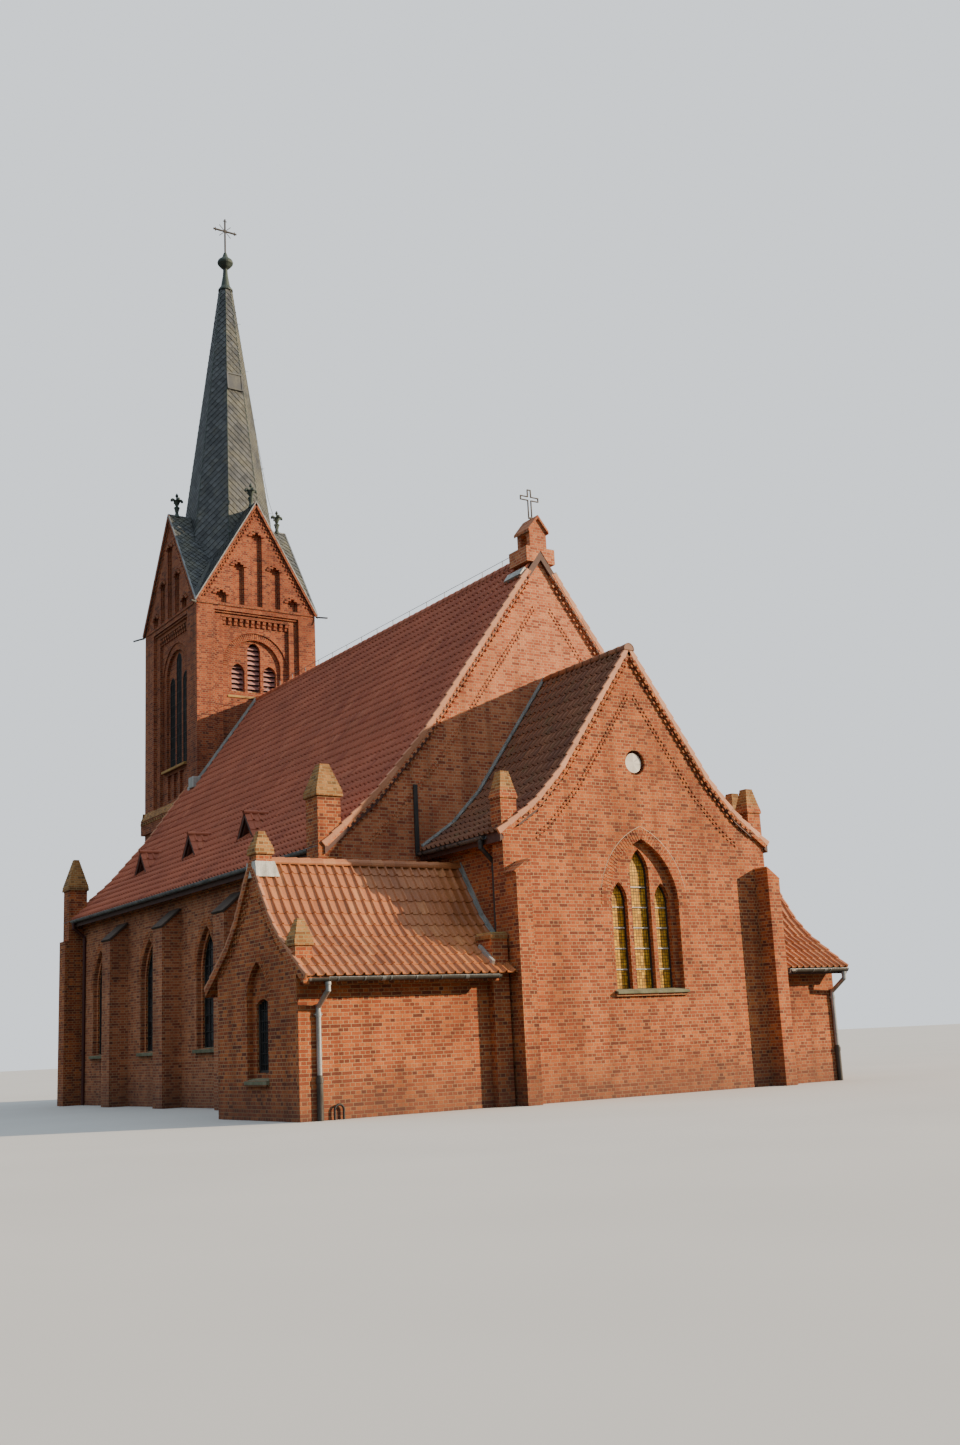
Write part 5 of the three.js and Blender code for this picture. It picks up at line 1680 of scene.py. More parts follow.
        # The dormer ends where it runs into the nave's middle slope
        _, (near, high), (far, low), _ = self.line.points
        slope = Vector((0, low - high, far - near)).normalized()
        trim(one, (0, -far, 7.27), -slope)
        # A near-black panel of painted shade fills the dormer's opening
        mouth = block((-0.36, -5.06, 7.22), (0.36, -5.03, 7.75), "mouth")
        with shaping(mouth):
            pick_points(mouth, lambda v: v.z > 7.5)
            bpy.ops.transform.resize(value=(0.22, 1, 1), center_override=(0, -5.05, 7.75))
        apron = soften(block((-0.56, -5.46, 7.05), (0.56, -5.28, 7.11), "apron"), 0.015, 2)
        boards = []
        for side in (-1, 1):
            board = eased((0.0, -5.37, -0.09), (0.93, -5.335, 0.0), 0.008)
            turn = Matrix.Rotation(math.atan2(ridge - eave, half), 4, "Y")
            moved(board, Matrix.Translation((0, 0, ridge)) @ turn)
            boards.append(moved(board, Matrix.Scale(side, 4, (1, 0, 0))))
        kinds = (
            ("dormer_tiles", one, NAVE_TILE, "nave_tile"),
            ("dormer_mouth_shades", mouth, DORMER_SHADE, "iron"),
            ("dormer_aprons", apron, LEAD, "zinc"),
            ("dormer_boards", gather("boards", boards), OLD_BOARD, "door_wood"),
        )
        for name, part, finish, slot in kinds:
            row = []
            for x in self.dormer_places:
                row.append(copied(part, Matrix.Translation((x, 0, 0))))
                row.append(copied(part, Facing.NORTH.frame(x, 0)))
            scrap(part)
            hand_over(gather(name, row), finish, slot)

    def gutters(self) -> None:
        """Fits out both gutters and sleeves their painted downpipes."""
        place = Facing.SOUTH.frame(0, -self.half - self.gutter_out, self.gutter_z)
        south = GutterFittings().fit("gutter", -18.8, 0.0, place)
        hand_over(both_sides("nave_gutter_fittings", south), ZINC, "zinc")
        pipe = moved(downpipe(self.gutter_out, self.gutter_z, 0.0), Facing.SOUTH.frame(-17.95, -self.half))
        hand_over(both_sides("nave_downpipe_sleeves", pipe), RED_PIPE, "zinc")

    def gable_slot(self) -> None:
        """Sets the narrow dark channel on the east gable beside the chancel's eave."""
        channels = [eased((-0.01, y - 0.055, 5.78), (0.05, y + 0.055, 7.52), 0.01) for y in (-4.135, 4.135)]
        hand_over(gather("gable_channels", channels), IRON, "iron")

    def build(self) -> None:
        """Builds and dresses the nave."""
        self.roof()
        self.rakes()
        self.ridge()
        self.window_rows()
        self.buttress_caps()
        self.cornice()
        self.pier_caps()
        self.flashings()
        self.dormers()
        self.gutters()
        self.gable_slot()


@dataclass
class Chancel:
    """The chancel: tiled roof against the nave's gable, great window, pinnacles and end buttresses."""

    line: RoofLine = RoofLine(((0.0, 10.56), (2.25, 7.40), (3.05, 6.58), (4.05, 5.90)))
    east: float = 3.37
    half: float = 3.75
    verge: float = 0.075
    gutter_out: float = 0.3753
    gutter_z: float = 5.84
    glass_depth: float = 0.30
    window: Lancet = Lancet(half=1.03, sill=2.33, spring=4.30, apex=5.86)
    lights: tuple[Lancet, ...] = (
        Lancet(0.23, 2.33, 4.40, 4.85, -0.64),
        Lancet(0.29, 2.33, 5.05, 5.64, 0.0),
        Lancet(0.23, 2.33, 4.40, 4.85, 0.64),
    )

    def roof(self) -> None:
        """Lays the tiles, the ridge and the verges."""
        tiles = PanTiles()
        south = tiles.lay("chancel_tiles", self.line, ((TO_EAVE, 0.03, self.east - 0.02),))
        north = tiles.lay("chancel_tiles", self.line, ((TO_EAVE, 0.02 - self.east, -0.03),))
        moved(north, Facing.NORTH.frame(0, 0))
        hand_over(gather("chancel_tiles", [south, north]), CHANCEL_TILE, "nave_tile")
        row = RidgeTiles().lay("chancel_ridge_row", 0.02, self.east + 0.06, 10.495)
        hand_over(row, CHANCEL_TILE, "nave_tile", ("chancel_ridge_tiles",))
        verge = VergeTiles(outer=self.east + self.verge).lay("verge", self.line, 1, 0.02)
        hand_over(both_sides("chancel_verge_tiles", verge), VERGE_TILE, "nave_tile")
        ends = (self.east - 0.01, self.east + self.verge - 0.004)
        rake = along_slope("rake", self.line, 0.0, self.line.length(), (ends, (-0.15, -0.05)))
        hand_over(both_sides("chancel_rake_courses", rake), BRICK, "brick")

    def gable(self) -> None:
        """Lays the teeth along the gable's rakes."""
        end = self.line.run_at(3.6)
        small = ToothRow(0.06, 0.042, 0.022, 0.12)
        rows = (
            (ToothRow(0.08, 0.05, 0.025, 0.177), 0.10, 0.35, end, 0.07),
            (ToothRow(0.08, 0.055, 0.045, 0.177), 0.20, 0.44, end, 0.0),
            (small, 0.60, 1.05, end - 0.2, 0.0),
            (small, 0.68, 1.11, end - 0.2, 0.0),
        )
        teeth = moved(gable_teeth("chancel_gable_teeth", self.line, rows), Facing.EAST.frame(self.east, 0))
        hand_over(teeth, BRICK, "brick")

    def great_window(self) -> None:
        """Sets the window's ring, frames, bars and sill."""
        place = Facing.EAST.frame(self.east, 0)
        ring = self.window.voussoirs("ring", 0.27, 0.008, 0.03)
        hand_over(moved(gather("chancel_window_ring", [ring]), place), BRICK, "brick")
        edge = self.window.grown(0.272, self.window.spring - 0.02).band("edge", 0.012, -0.003, 0.02, 14)
        trim(edge, (0, 0, self.window.spring + 0.4), (0, 0, -1))
        hand_over(moved(gather("chancel_window_edge", [edge]), place), LIME_JOINT, "brick")
        frames, bars = [], []
        for light in self.lights:
            frames.append(light.band("frame", -0.03, self.glass_depth - 0.04, self.glass_depth + 0.005))
            top = 5 if light.centre else 6
            rows = [2.36 + 0.478 * k for k in range(1, top)]
            bars.append(light.bars("bars", self.glass_depth - 0.012, rows, (), 0.016))
        hand_over(moved(gather("chancel_window_frames", frames), place), IRON, "iron")
        hand_over(moved(gather("chancel_window_bars", bars), place), WHITE_LEAD, "zinc")
        sill = sloped_sill("chancel_sill", 1.07, 2.39, 0.12, 0.16, 0.06, 0.06)
        hand_over(moved(sill, place), SILL_STONE, "brick")

    def corners(self) -> None:
        """Caps the pinnacles and the end buttresses."""
        caps, slabs = [], []
        for side in (-1, 1):
            y = side * 3.74
            caps.append(stepped_cap("cap", 3.16, y, 6.70, 7.28, 0.222, 0.1))
            caps.append(eased((2.928, y - 0.232, 6.64), (3.392, y + 0.232, 6.70), 0.008))
            slab = eased((0, 0, 0), (0.445, 0.505, 0.05), 0.01, 2)
            turn = Matrix.Rotation(-math.atan2(0.27, 0.38), 4, "X")
            moved(slab, Matrix.Translation((3.375, 3.55, 5.21)) @ turn)
            slabs.append(moved(slab, Matrix.Scale(side, 4, (0, 1, 0))))
        hand_over(gather("chancel_pinnacle_caps", caps), CAP_BRICK, "brick")
        hand_over(gather("chancel_buttress_caps", slabs), BRICK, "brick")

    def flashings(self) -> None:
        """Lays lead where the roof meets the nave's gable."""
        end = self.line.length() - 0.1
        parts = []
        for box in (((0.0, 0.05), (0.05, 0.072)), ((0.0, 0.012), (0.0, 0.11))):
            parts.append(along_slope("flashing", self.line, 0.0, end, box))
        hand_over(both_sides("chancel_flashings", gather("flashing", parts)), LEAD, "zinc")

    def gutters(self) -> None:
        """Fits out both gutters."""
        place = Facing.SOUTH.frame(0, -self.half - self.gutter_out, self.gutter_z)
        south = GutterFittings().fit("gutter", 0.1, 2.85, place)
        hand_over(both_sides("chancel_gutter_fittings", south), IRON, "zinc")
        pipe = moved(downpipe(self.gutter_out, self.gutter_z, 3.58), Facing.SOUTH.frame(2.75, -self.half))
        hand_over(both_sides("chancel_downpipe_sleeves", pipe), IRON, "zinc")

    def build(self) -> None:
        """Builds and dresses the chancel."""
        self.roof()
        self.gable()
        self.great_window()
        self.corners()
        self.flashings()
        self.gutters()


@dataclass
class Annexes:
    """The gabled annex on the south side and the short one on the north, under bright newer tiles."""

    line: RoofLine = RoofLine(((0.0, 5.39), (0.85, 4.11), (1.30, 3.65), (2.47, 2.80)))
    ridge_x: float = 1.2
    east: float = 3.24
    south: float = -8.96
    north: float = 6.10
    gutter_z: float = 2.74
    pipe_places: tuple[float, ...] = (-8.54, 5.98)
    niche: Lancet = Lancet(half=0.52, sill=0.80, spring=2.42, apex=3.22)
    tiles: PanTiles = PanTiles(gauge=0.37, tail_lift=0.018, roll_open=0.008, roll_sink=0.008)

    def roofs(self) -> None:
        """Lays the tiles, ridges and verges of both annexes."""
        east = Facing.EAST.frame(self.ridge_x, 0)
        west = Facing.WEST.frame(self.ridge_x, 0)
        laid = [
            moved(self.tiles.lay("annex_tiles", self.line, ((TO_EAVE, self.south - 0.02, -3.80),)), east),
            moved(self.tiles.lay("annex_tiles", self.line, ((1.1, 3.80, 8.98), (TO_EAVE, 6.45, 8.98))), west),
            moved(self.tiles.lay("annex_tiles", self.line, ((TO_EAVE, 3.80, self.north + 0.02),)), east),
        ]
        hand_over(gather("annex_tiles", laid), ANNEX_TILE, "annex_tile")
        ridge = RidgeTiles(length=0.3, radius=0.12)
        turn = Matrix.Translation((self.ridge_x, 0, 0)) @ Matrix.Rotation(math.pi / 2, 4, "Z")
        row = moved(ridge.lay("annex_ridge_row", -8.57, -3.76, 5.34), turn)
        hand_over(row, ANNEX_TILE, "annex_tile", ("annex_ridge_tiles",))
        row = moved(ridge.lay("north_annex_ridge_row", 3.76, self.north + 0.06, 5.34), turn)
        hand_over(row, ANNEX_TILE, "annex_tile")
        rows = []
        for outer, side, start, slope in (
            (-9.038, -1, 0.3, east),
            (9.038, 1, 0.3, west),
            (self.north + 0.095, 1, 0.05, east),
        ):
            verge = VergeTiles(outer=outer, gauge=self.tiles.gauge, bottom=-0.06)
            rows.append(moved(verge.lay("verge", self.line, side, start), slope))
        hand_over(gather("annex_verge_tiles", rows), VERGE_TILE, "annex_tile")
        end = self.line.length() - 0.02
        rakes = [
            moved(along_slope("rake", self.line, 0.0, end, ((-9.036, -8.95), (-0.125, -0.05))), east),
            moved(along_slope("rake", self.line, 0.0, end, ((8.95, 9.036), (-0.125, -0.05))), west),
        ]
        hand_over(gather("annex_rake_courses", rakes), BRICK, "brick")

    def gable(self) -> None:
        """Dresses the south gable: teeth, niche, window and pinnacle caps."""
        place = Facing.SOUTH.frame(self.ridge_x, self.south)
        laid = []
        teeth = ToothRow(0.08, 0.05, 0.03, 0.18)
        for side, end in ((-1, self.line.run_at(1.85)), (1, self.line.run_at(1.55))):
            for inset, start in ((0.165, 0.5), (0.25, 0.59)):
                laid.append(teeth.lay("teeth", self.line, inset, start, end, side))
        hand_over(moved(gather("annex_gable_teeth", laid), place), BRICK, "brick")
        place = Facing.SOUTH.frame(1.325, self.south)
        ring = moved(self.niche.voussoirs("annex_niche_ring", 0.22, 0.008, 0.03), place)
        hand_over(ring, BRICK, "brick")
        sill = moved(sloped_sill("annex_sill", 0.55, 0.84, 0.078, 0.14, 0.08, 0.05), place)
        hand_over(sill, SILL_STONE, "brick")
        place = Facing.SOUTH.frame(1.33, self.south)
        bars = [rod((x, 0.215, 0.95), (x, 0.215, 2.45), 0.009, 6) for x in (-0.22, -0.11, 0.0, 0.11, 0.22)]
        heights = (1.12, 1.34, 1.56, 1.78, 2.0, 2.22)
        bars += [rod((-0.33, 0.215, z), (0.33, 0.215, z), 0.009, 6) for z in heights]
        for left, right, top in ((-0.335, -0.28, 2.36), (0.28, 0.335, 2.36), (-0.335, 0.335, 1.0)):
            bars.append(eased((left, 0.18, 0.94), (right, 0.235, top)))
        hand_over(moved(gather("annex_window_grille", bars), place), IRON, "iron")
        head = []
        for k in range(-4, 5):
            head.append(eased((-0.02 + 0.078 * k, -0.006, 2.455), (0.046 + 0.078 * k, 0.03, 2.68), 0.004))
        place = Facing.SOUTH.frame(1.32, self.south + 0.13)
        hand_over(moved(gather("annex_window_head", head), place), BRICK, "brick")
        caps = [
            stepped_cap("cap", 1.25, -8.8, 5.555, 6.0, 0.218, 0.052),
            stepped_cap("cap", 3.04, -8.8, 3.465, 3.96, 0.214, 0.052),
            eased((1.028, -9.022, 5.49), (1.472, -8.578, 5.56), 0.008),
            eased((2.822, -9.018, 3.412), (3.258, -8.582, 3.47), 0.008),
            eased((2.815, -4.46, 3.5), (3.475, -3.99, 3.665), 0.05, 2),
        ]
        hand_over(gather("annex_caps", caps), CAP_BRICK, "brick")

    def flashings(self) -> None:
        """Lays lead at the pinnacle's foot and along the chancel's walls."""
        white = block((1.03, -9.03, 5.0), (1.47, -8.57, 5.34), "apex_flashing")
        with shaping(white):
            shift_points(white, lambda v: v.z < 5.1 and v.x > 1.3, (0.06, 0, 0))
            shift_points(white, lambda v: v.z < 5.1 and v.x < 1.1, (-0.06, 0, 0))
            shift_points(white, lambda v: v.z < 5.1 and v.y > -8.7, (0, 0.09, 0))
        soften(white, 0.005)
        hand_over(white, WHITE_LEAD, "zinc")
        east = Facing.EAST.frame(self.ridge_x, 0)
        parts = []
        for box in (((-3.83, -3.75), (0.05, 0.075)), ((-3.762, -3.75), (0.0, 0.15))):
            parts.append(moved(along_slope("flashing", self.line, 0.0, 2.2, box), east))
        for box in (((3.75, 3.83), (0.05, 0.075)), ((3.75, 3.762), (0.0, 0.15))):
            parts.append(moved(along_slope("flashing", self.line, 0.0, 2.6, box), east))
        box = ((-4.5, -4.43), (0.02, 0.14))
        parts.append(moved(along_slope("flashing", self.line, 2.75, 3.4, box), east))
        hand_over(gather("annex_flashings", parts), LEAD, "zinc")

    def gutters(self) -> None:
        """Fits out the annexes' gutters and sets the drain hoop."""
        place = Facing.EAST.frame(self.ridge_x + 2.47 + 0.0753, 0, self.gutter_z)
        fittings = GutterFittings(bracket_pitch=0.6, collar_pitch=2.0)
        parts = [fittings.fit("gutter", start, end, place) for start, end in ((-8.55, -4.5), (4.05, 6.1))]
        hand_over(gather("annex_gutter_fittings", parts), ZINC, "zinc")
        stubs, pipes = [], []
        x = self.east + 0.0503
        for y in self.pipe_places:
            for low, high, radius in ((0.0, 0.78, 0.066), (0.72, 0.82, 0.078), (0.82, 0.87, 0.06)):
                stubs.append(rod((x, y, low), (x, y, high), radius, 16))
        hand_over(gather("annex_pipe_stubs", stubs), OLD_ZINC, "iron")
        for y in self.pipe_places:
            pipes.append(moved(downpipe(0.5053, self.gutter_z, 0.8), Facing.EAST.frame(self.east, y)))
        hand_over(gather("annex_downpipe_sleeves", pipes), NEW_ZINC, "zinc")
        put_down()
        bpy.ops.mesh.primitive_torus_add(
            major_radius=0.1,
            minor_radius=0.024,
            major_segments=20,
            minor_segments=10,
            location=(3.30, -8.13, 0.19),
            rotation=(math.pi / 2, 0, math.pi / 2),
        )
        hoop = settle("drain_hoop")
        legs = [rod((3.30, y, 0.0), (3.30, y, 0.2), 0.024, 10) for y in (-8.23, -8.03)]
        trim(hoop, (0, 0, 0.19), (0, 0, -1))
        hand_over(gather("drain_hoop", [hoop, *legs]), IRON, "iron")

    def build(self) -> None:
        """Builds and dresses both annexes."""
        self.roofs()
        self.gable()
        self.flashings()
        self.gutters()


@dataclass
class Tower:
    """The west tower: stepped fields, belfry lights, four gables and their slated roofs."""

    middle: float = -20.44
    half_x: float = 2.61
    half_y: float = 2.40
    across_ridge: RoofLine = RoofLine(((0.0, 21.80), (2.48, 17.605)))
    along_ridge: RoofLine = RoofLine(((0.0, 21.80), (2.69, 17.615)))
    window: Lancet = Lancet(half=1.04, sill=11.90, spring=15.36, apex=16.42)
    lights: tuple[Lancet, ...] = (
        Lancet(0.26, 11.90, 15.16, 15.49, -0.64),
        Lancet(0.26, 11.90, 16.005, 16.335, 0.0),
        Lancet(0.26, 11.90, 15.16, 15.49, 0.64),
    )
    niches: tuple[tuple[float, float], ...] = (
        (-1.45, 18.15),
        (-0.73, 19.33),
        (0.0, 20.60),
        (0.73, 19.33),
        (1.45, 18.15),
    )
    door: Lancet = Lancet(half=0.85, sill=0.0, spring=2.10, apex=3.15)

    def face(self, facing: Facing) -> Matrix:
        """The axes of one of the tower's faces, its origin on the ground at the face's middle."""
        reach = {
            Facing.EAST: (self.half_x, 0.0),
            Facing.WEST: (-self.half_x, 0.0),
            Facing.SOUTH: (0.0, -self.half_y),
            Facing.NORTH: (0.0, self.half_y),
        }[facing]
        return facing.frame(self.middle + reach[0], reach[1])

    def on_faces(self, name: str, part: Piece, facings: Sequence[Facing], finish: Finish, slot: str) -> None:
        """Copies a pattern to faces of the tower and hands it over.

        Args:
            name: The name of the copies together.
            part: The pattern, on a wall that looks south in its own axes.
            facings: The faces that get it.
            finish: Its finish.
            slot: Its material slot.
        """
        row = [copied(part, self.face(facing)) for facing in facings]
        scrap(part)
        hand_over(gather(name, row), finish, slot)

    def fields(self) -> None:
        """Lays the courses and corbels at the head of each sunk field, and the arch rings."""
        parts = []
        heads = ((17.545, 17.615, -0.035, 2.38), (17.29, 17.37, 0.055, 1.70), (17.15, 17.225, 0.10, 1.40))
        for low, high, front, half in heads:
            parts.append(eased((-half, front, low), (half, 0.14, high)))
        head = eased((-0.065, 0.125, 17.02), (0.065, 0.23, 17.16))
        foot = eased((-0.065, 0.165, 16.89), (0.065, 0.23, 17.03))
        corbel = moved(gather("corbel", [head, foot]), Matrix.Translation((-1.2655, 0, 0)))
        parts.append(repeat(corbel, 12, (0.2301, 0, 0)))
        self.on_faces("tower_field_heads", gather("field_heads", parts), list(Facing), TOWER_BRICK, "brick")
        ring = self.window.voussoirs("ring", 0.25, -0.258, 0.30)
        self.on_faces("tower_window_rings", ring, list(Facing), TOWER_BRICK, "brick")

    def gables(self) -> None:
        """Hoods the niches and lays the teeth along the rakes."""
        parts = []
        for across, top in self.niches:
            for side in (-1, 1):
                for near, far, foot in ((0.175, 0.33, top - 0.19), (0.06, 0.26, top - 0.11)):
                    low, high = sorted((across + side * near, across + side * far))
                    parts.append(eased((low, -0.05, foot), (high, 0.02, foot + 0.08)))
            parts.append(eased((across - 0.11, -0.05, top - 0.03), (across + 0.11, 0.02, top + 0.05)))
        self.on_faces("tower_niche_hoods", gather("hoods", parts), list(Facing), TOWER_BRICK, "brick")
        for line, facings in (
            (self.across_ridge, (Facing.EAST, Facing.WEST)),
            (self.along_ridge, (Facing.SOUTH, Facing.NORTH)),
        ):
            teeth, end = ToothRow(0.085, 0.055, 0.04, 0.18), line.length() - 0.3
            rows = [(teeth, inset, start, end, 0.0) for inset, start in ((0.15, 0.36), (0.235, 0.45))]
            name = f"tower_{facings[0].name.lower()}_{facings[1].name.lower()}_gable_teeth"
            self.on_faces(name, gable_teeth("teeth", line, rows), facings, TOWER_BRICK, "brick")

    def windows(self) -> None:
        """Sets the tall windows' frames, bars and sills, and the belfry's sill."""
        tall = (Facing.SOUTH, Facing.NORTH, Facing.WEST)
        metal, panes = [], []
        for light in self.lights:
            heights = (12.3 + 0.42 * k for k in range(9))
            rows = [z for z in heights if z < light.apex - 0.1]
            metal.append(light.band("frame", -0.028, 0.366, 0.39))
            metal.append(light.bars("bars", 0.374, rows, (0.0,), 0.012))
            panes.append(light.band("pane", -light.half, 0.38, 0.395))
        self.on_faces("tower_window_bars", gather("bars", metal), tall, IRON, "iron")
        self.on_faces("tower_window_panes", gather("panes", panes), tall, SOOTY_GLASS, "glass")
        sill = sloped_sill("sill", 1.13, 11.95, -0.08, 0.36, 0.09, 0.06)
        self.on_faces("tower_sills", sill, tall, LICHEN_STONE, "brick")
        sill = sloped_sill("sill", 1.12, 14.47, -0.19, 0.475, 0.06, 0.27)
        self.on_faces("belfry_sill", sill, (Facing.EAST,), LICHEN_STONE, "brick")
        slats = []
        for k in range(10):
            low = 14.44 + 0.19 * k
            wide = 0.96 if low < 15.49 else 0.38
            slat = block((-wide, 0.484, low - 0.03), (wide, 0.498, low + 0.12))
            with shaping(slat):
                shift_points(slat, lambda v, top=low + 0.1: v.z > top, (0, 0.105, 0))
            slats.append(soften(slat, 0.003))
        self.on_faces("belfry_slats", gather("slats", slats), (Facing.EAST,), LOUVRE_PAINT, "louvre_wood")
        pane = block((-0.20, 0.30, 10.73), (0.20, 0.325, 11.67))
        with shaping(pane):
            pick_faces(pane, lambda c, n: n.y < -0.9)
            bpy.ops.mesh.inset(thickness=0.05, depth=-0.015)
        panes = [copied(pane, Matrix.Translation((x, 0, 0))) for x in (-0.6, 0.0, 0.6)]
        scrap(pane)
        self.on_faces("tower_blank_panels", gather("panels", panes), tall, TOWER_BRICK, "brick")

    def shelf(self) -> None:
        """Covers the weathered ledge with tiles laid flat and sets teeth under its lip."""
        tile = block((-0.115, -0.135, 0.0), (0.115, 0.01, 0.03), "ledge_tile")
        soften(tile, 0.008)
        with shaping(tile):
            pick_points(tile, lambda v: v.y > -0.05)
            bpy.ops.transform.translate(value=(0, 0, 0.29))
        tooth = eased((-0.06, -0.16, -0.16), (0.06, -0.10, -0.06))
        ledge = Matrix.Translation((0, 0, 10.205))
        unit = gather("ledge", [moved(tile, ledge), moved(tooth, ledge)])
        rows = []
        faces = ((Facing.SOUTH, -2.61, 19), (Facing.NORTH, -1.68, 19), (Facing.WEST, -2.35, 21))
        for facing, start, count in faces:
            row = repeat(copied(unit, Matrix.Translation((start, 0, 0))), count, (0.236, 0, 0))
            rows.append(moved(row, self.face(facing)))
        scrap(unit)
        hand_over(gather("tower_ledge_tiles", rows), CAP_BRICK, "brick")

    def roofs(self) -> None:
        """Slates the four gable roofs, edges them with metal and caps their ridges."""
        slates, edges, courses = [], [], []
        valley = self.across_ridge.points[1][0] / self.along_ridge.points[1][0]
        for line, reach, turn, bias in (
            (self.across_ridge, 2.69, 0.0, valley),
            (self.along_ridge, 2.48, 90.0, 1 / valley),
        ):
            field = SlateField().lay("gable_slates", reach + 0.2, line.length())
            moved(field, slope_frame(line, line.length(), 0.0))
            cuts = (
                ((0, 0, 0), (-bias, -1.0, 0)),
                ((reach - 0.03, 0, 0), (1, 0, 0)),
                ((0, -0.01, 0), (0, 1, 0)),
                ((0, 0, 17.60), (0, 0, -1)),
            )
            for point, outward in cuts:
                trim(field, point, outward)
            box = ((reach - 0.04, reach + 0.012), (-0.015, 0.025))
            edge = along_slope("edge", line, 0.0, line.length(), box)
            box = ((reach - 0.03, reach + 0.008), (-0.10, -0.017))
            course = along_slope("course", line, 0.0, line.length(), box)
            roll = rod((1.2, 0, 21.80), (reach, 0, 21.80), 0.035, 10)
            turned = Matrix.Translation((self.middle, 0, 0)) @ Matrix.Rotation(math.radians(turn), 4, "Z")
            for flip_x in (1, -1):
                for flip_y in (1, -1):
                    place = turned @ Matrix.Diagonal((flip_x, flip_y, 1, 1))
                    slates.append(copied(field, place))
                    edges.append(copied(edge, place))
                    courses.append(copied(course, place))
                edges.append(copied(roll, place))
            scrap(field, edge, roll, course)
        hand_over(gather("gable_roof_slates", slates), SLATE, "slate")
        hand_over(gather("gable_roof_edges", edges), ZINC, "zinc")
        hand_over(gather("gable_roof_rake_courses", courses), TOWER_BRICK, "brick")

    def finials(self) -> None:
        """Dresses the four finials with a ring, a cup of curled leaves and a bud."""
        foot = 21.74
        put_down()
        bpy.ops.mesh.primitive_cone_add(
            vertices=8, radius1=0.06, radius2=0.15, depth=0.22, location=(0, 0, foot + 0.58)
        )
        cup = settle("cup")
        parts = [cup, soften(rod((0, 0, foot + 0.36), (0, 0, foot + 0.42), 0.115, 12), 0.015)]
        for k in range(4):
            turn = Matrix.Rotation(math.pi * k / 2, 4, "Z")
            curl = ((0.06, 0.62), (0.14, 0.73), (0.205, 0.72), (0.215, 0.64))
            for (a, low), (b, high) in zip(curl, curl[1:]):
                parts.append(moved(rod((a, 0, foot + low), (b, 0, foot + high), 0.05, 8), turn))
        put_down()
        bpy.ops.mesh.primitive_uv_sphere_add(
            segments=12, ring_count=8, radius=0.062, location=(0, 0, foot + 0.89)
        )
        bud = settle("bud")
        with shaping(bud):
            shift_points(bud, lambda v: v.z > foot + 0.94, (0, 0, 0.04))
        pattern = gather("finial_dress", [*parts, bud])
        places = ((-18.25, 0.0), (-22.63, 0.0), (self.middle, -2.12), (self.middle, 2.12))
        row = [copied(pattern, Matrix.Translation((x, y, 0))) for x, y in places]
        scrap(pattern)
        hand_over(gather("tower_finial_leaves", row), COPPER, "copper")

    def west_door(self) -> None:
        """Boards and frames the west door and hangs it on strap hinges."""
        place = self.face(Facing.WEST)
        boards = []
        for i in range(9):
            u = -0.76 + 0.19 * i
            top = self.door.top_at(min(abs(u) + 0.09, 0.849)) - 0.01
            boards.append(eased((u - 0.09, 0.222, 0.03), (u + 0.09, 0.252, top), 0.008))
        boards.append(self.door.band("frame", -0.08, 0.19, 0.26))
        boards.append(eased((-0.02, 0.195, 0.03), (0.02, 0.225, 3.05), 0.008))
        hand_over(moved(gather("west_door_boards", boards), place), DOOR_PAINT, "door_wood")
        straps = []
        for side in (-1, 1):
            for z in (0.45, 1.65):
                low, high = sorted((side * 0.22, side * 0.78))
                straps.append(eased((low, 0.212, z), (high, 0.224, z + 0.06), 0.004))
                straps.append(rod((side * 0.78, 0.205, z - 0.03), (side * 0.78, 0.205, z + 0.09), 0.016, 10))
        put_down()
        bpy.ops.mesh.primitive_torus_add(
            major_radius=0.05, minor_radius=0.008, location=(0.1, 0.208, 1.1), rotation=(math.pi / 2, 0, 0)
        )
        straps.append(settle("ring_handle"))
        hand_over(moved(gather("west_door_ironwork", straps), place), IRON, "iron")
        ring = self.door.voussoirs("west_door_ring", 0.24, 0.008, 0.03)
        hand_over(moved(ring, place), TOWER_BRICK, "brick")

    def build(self) -> None:
        """Builds and dresses the tower."""
        self.fields()
        self.gables()
        self.windows()
        self.shelf()
        self.roofs()
        self.finials()
        self.west_door()


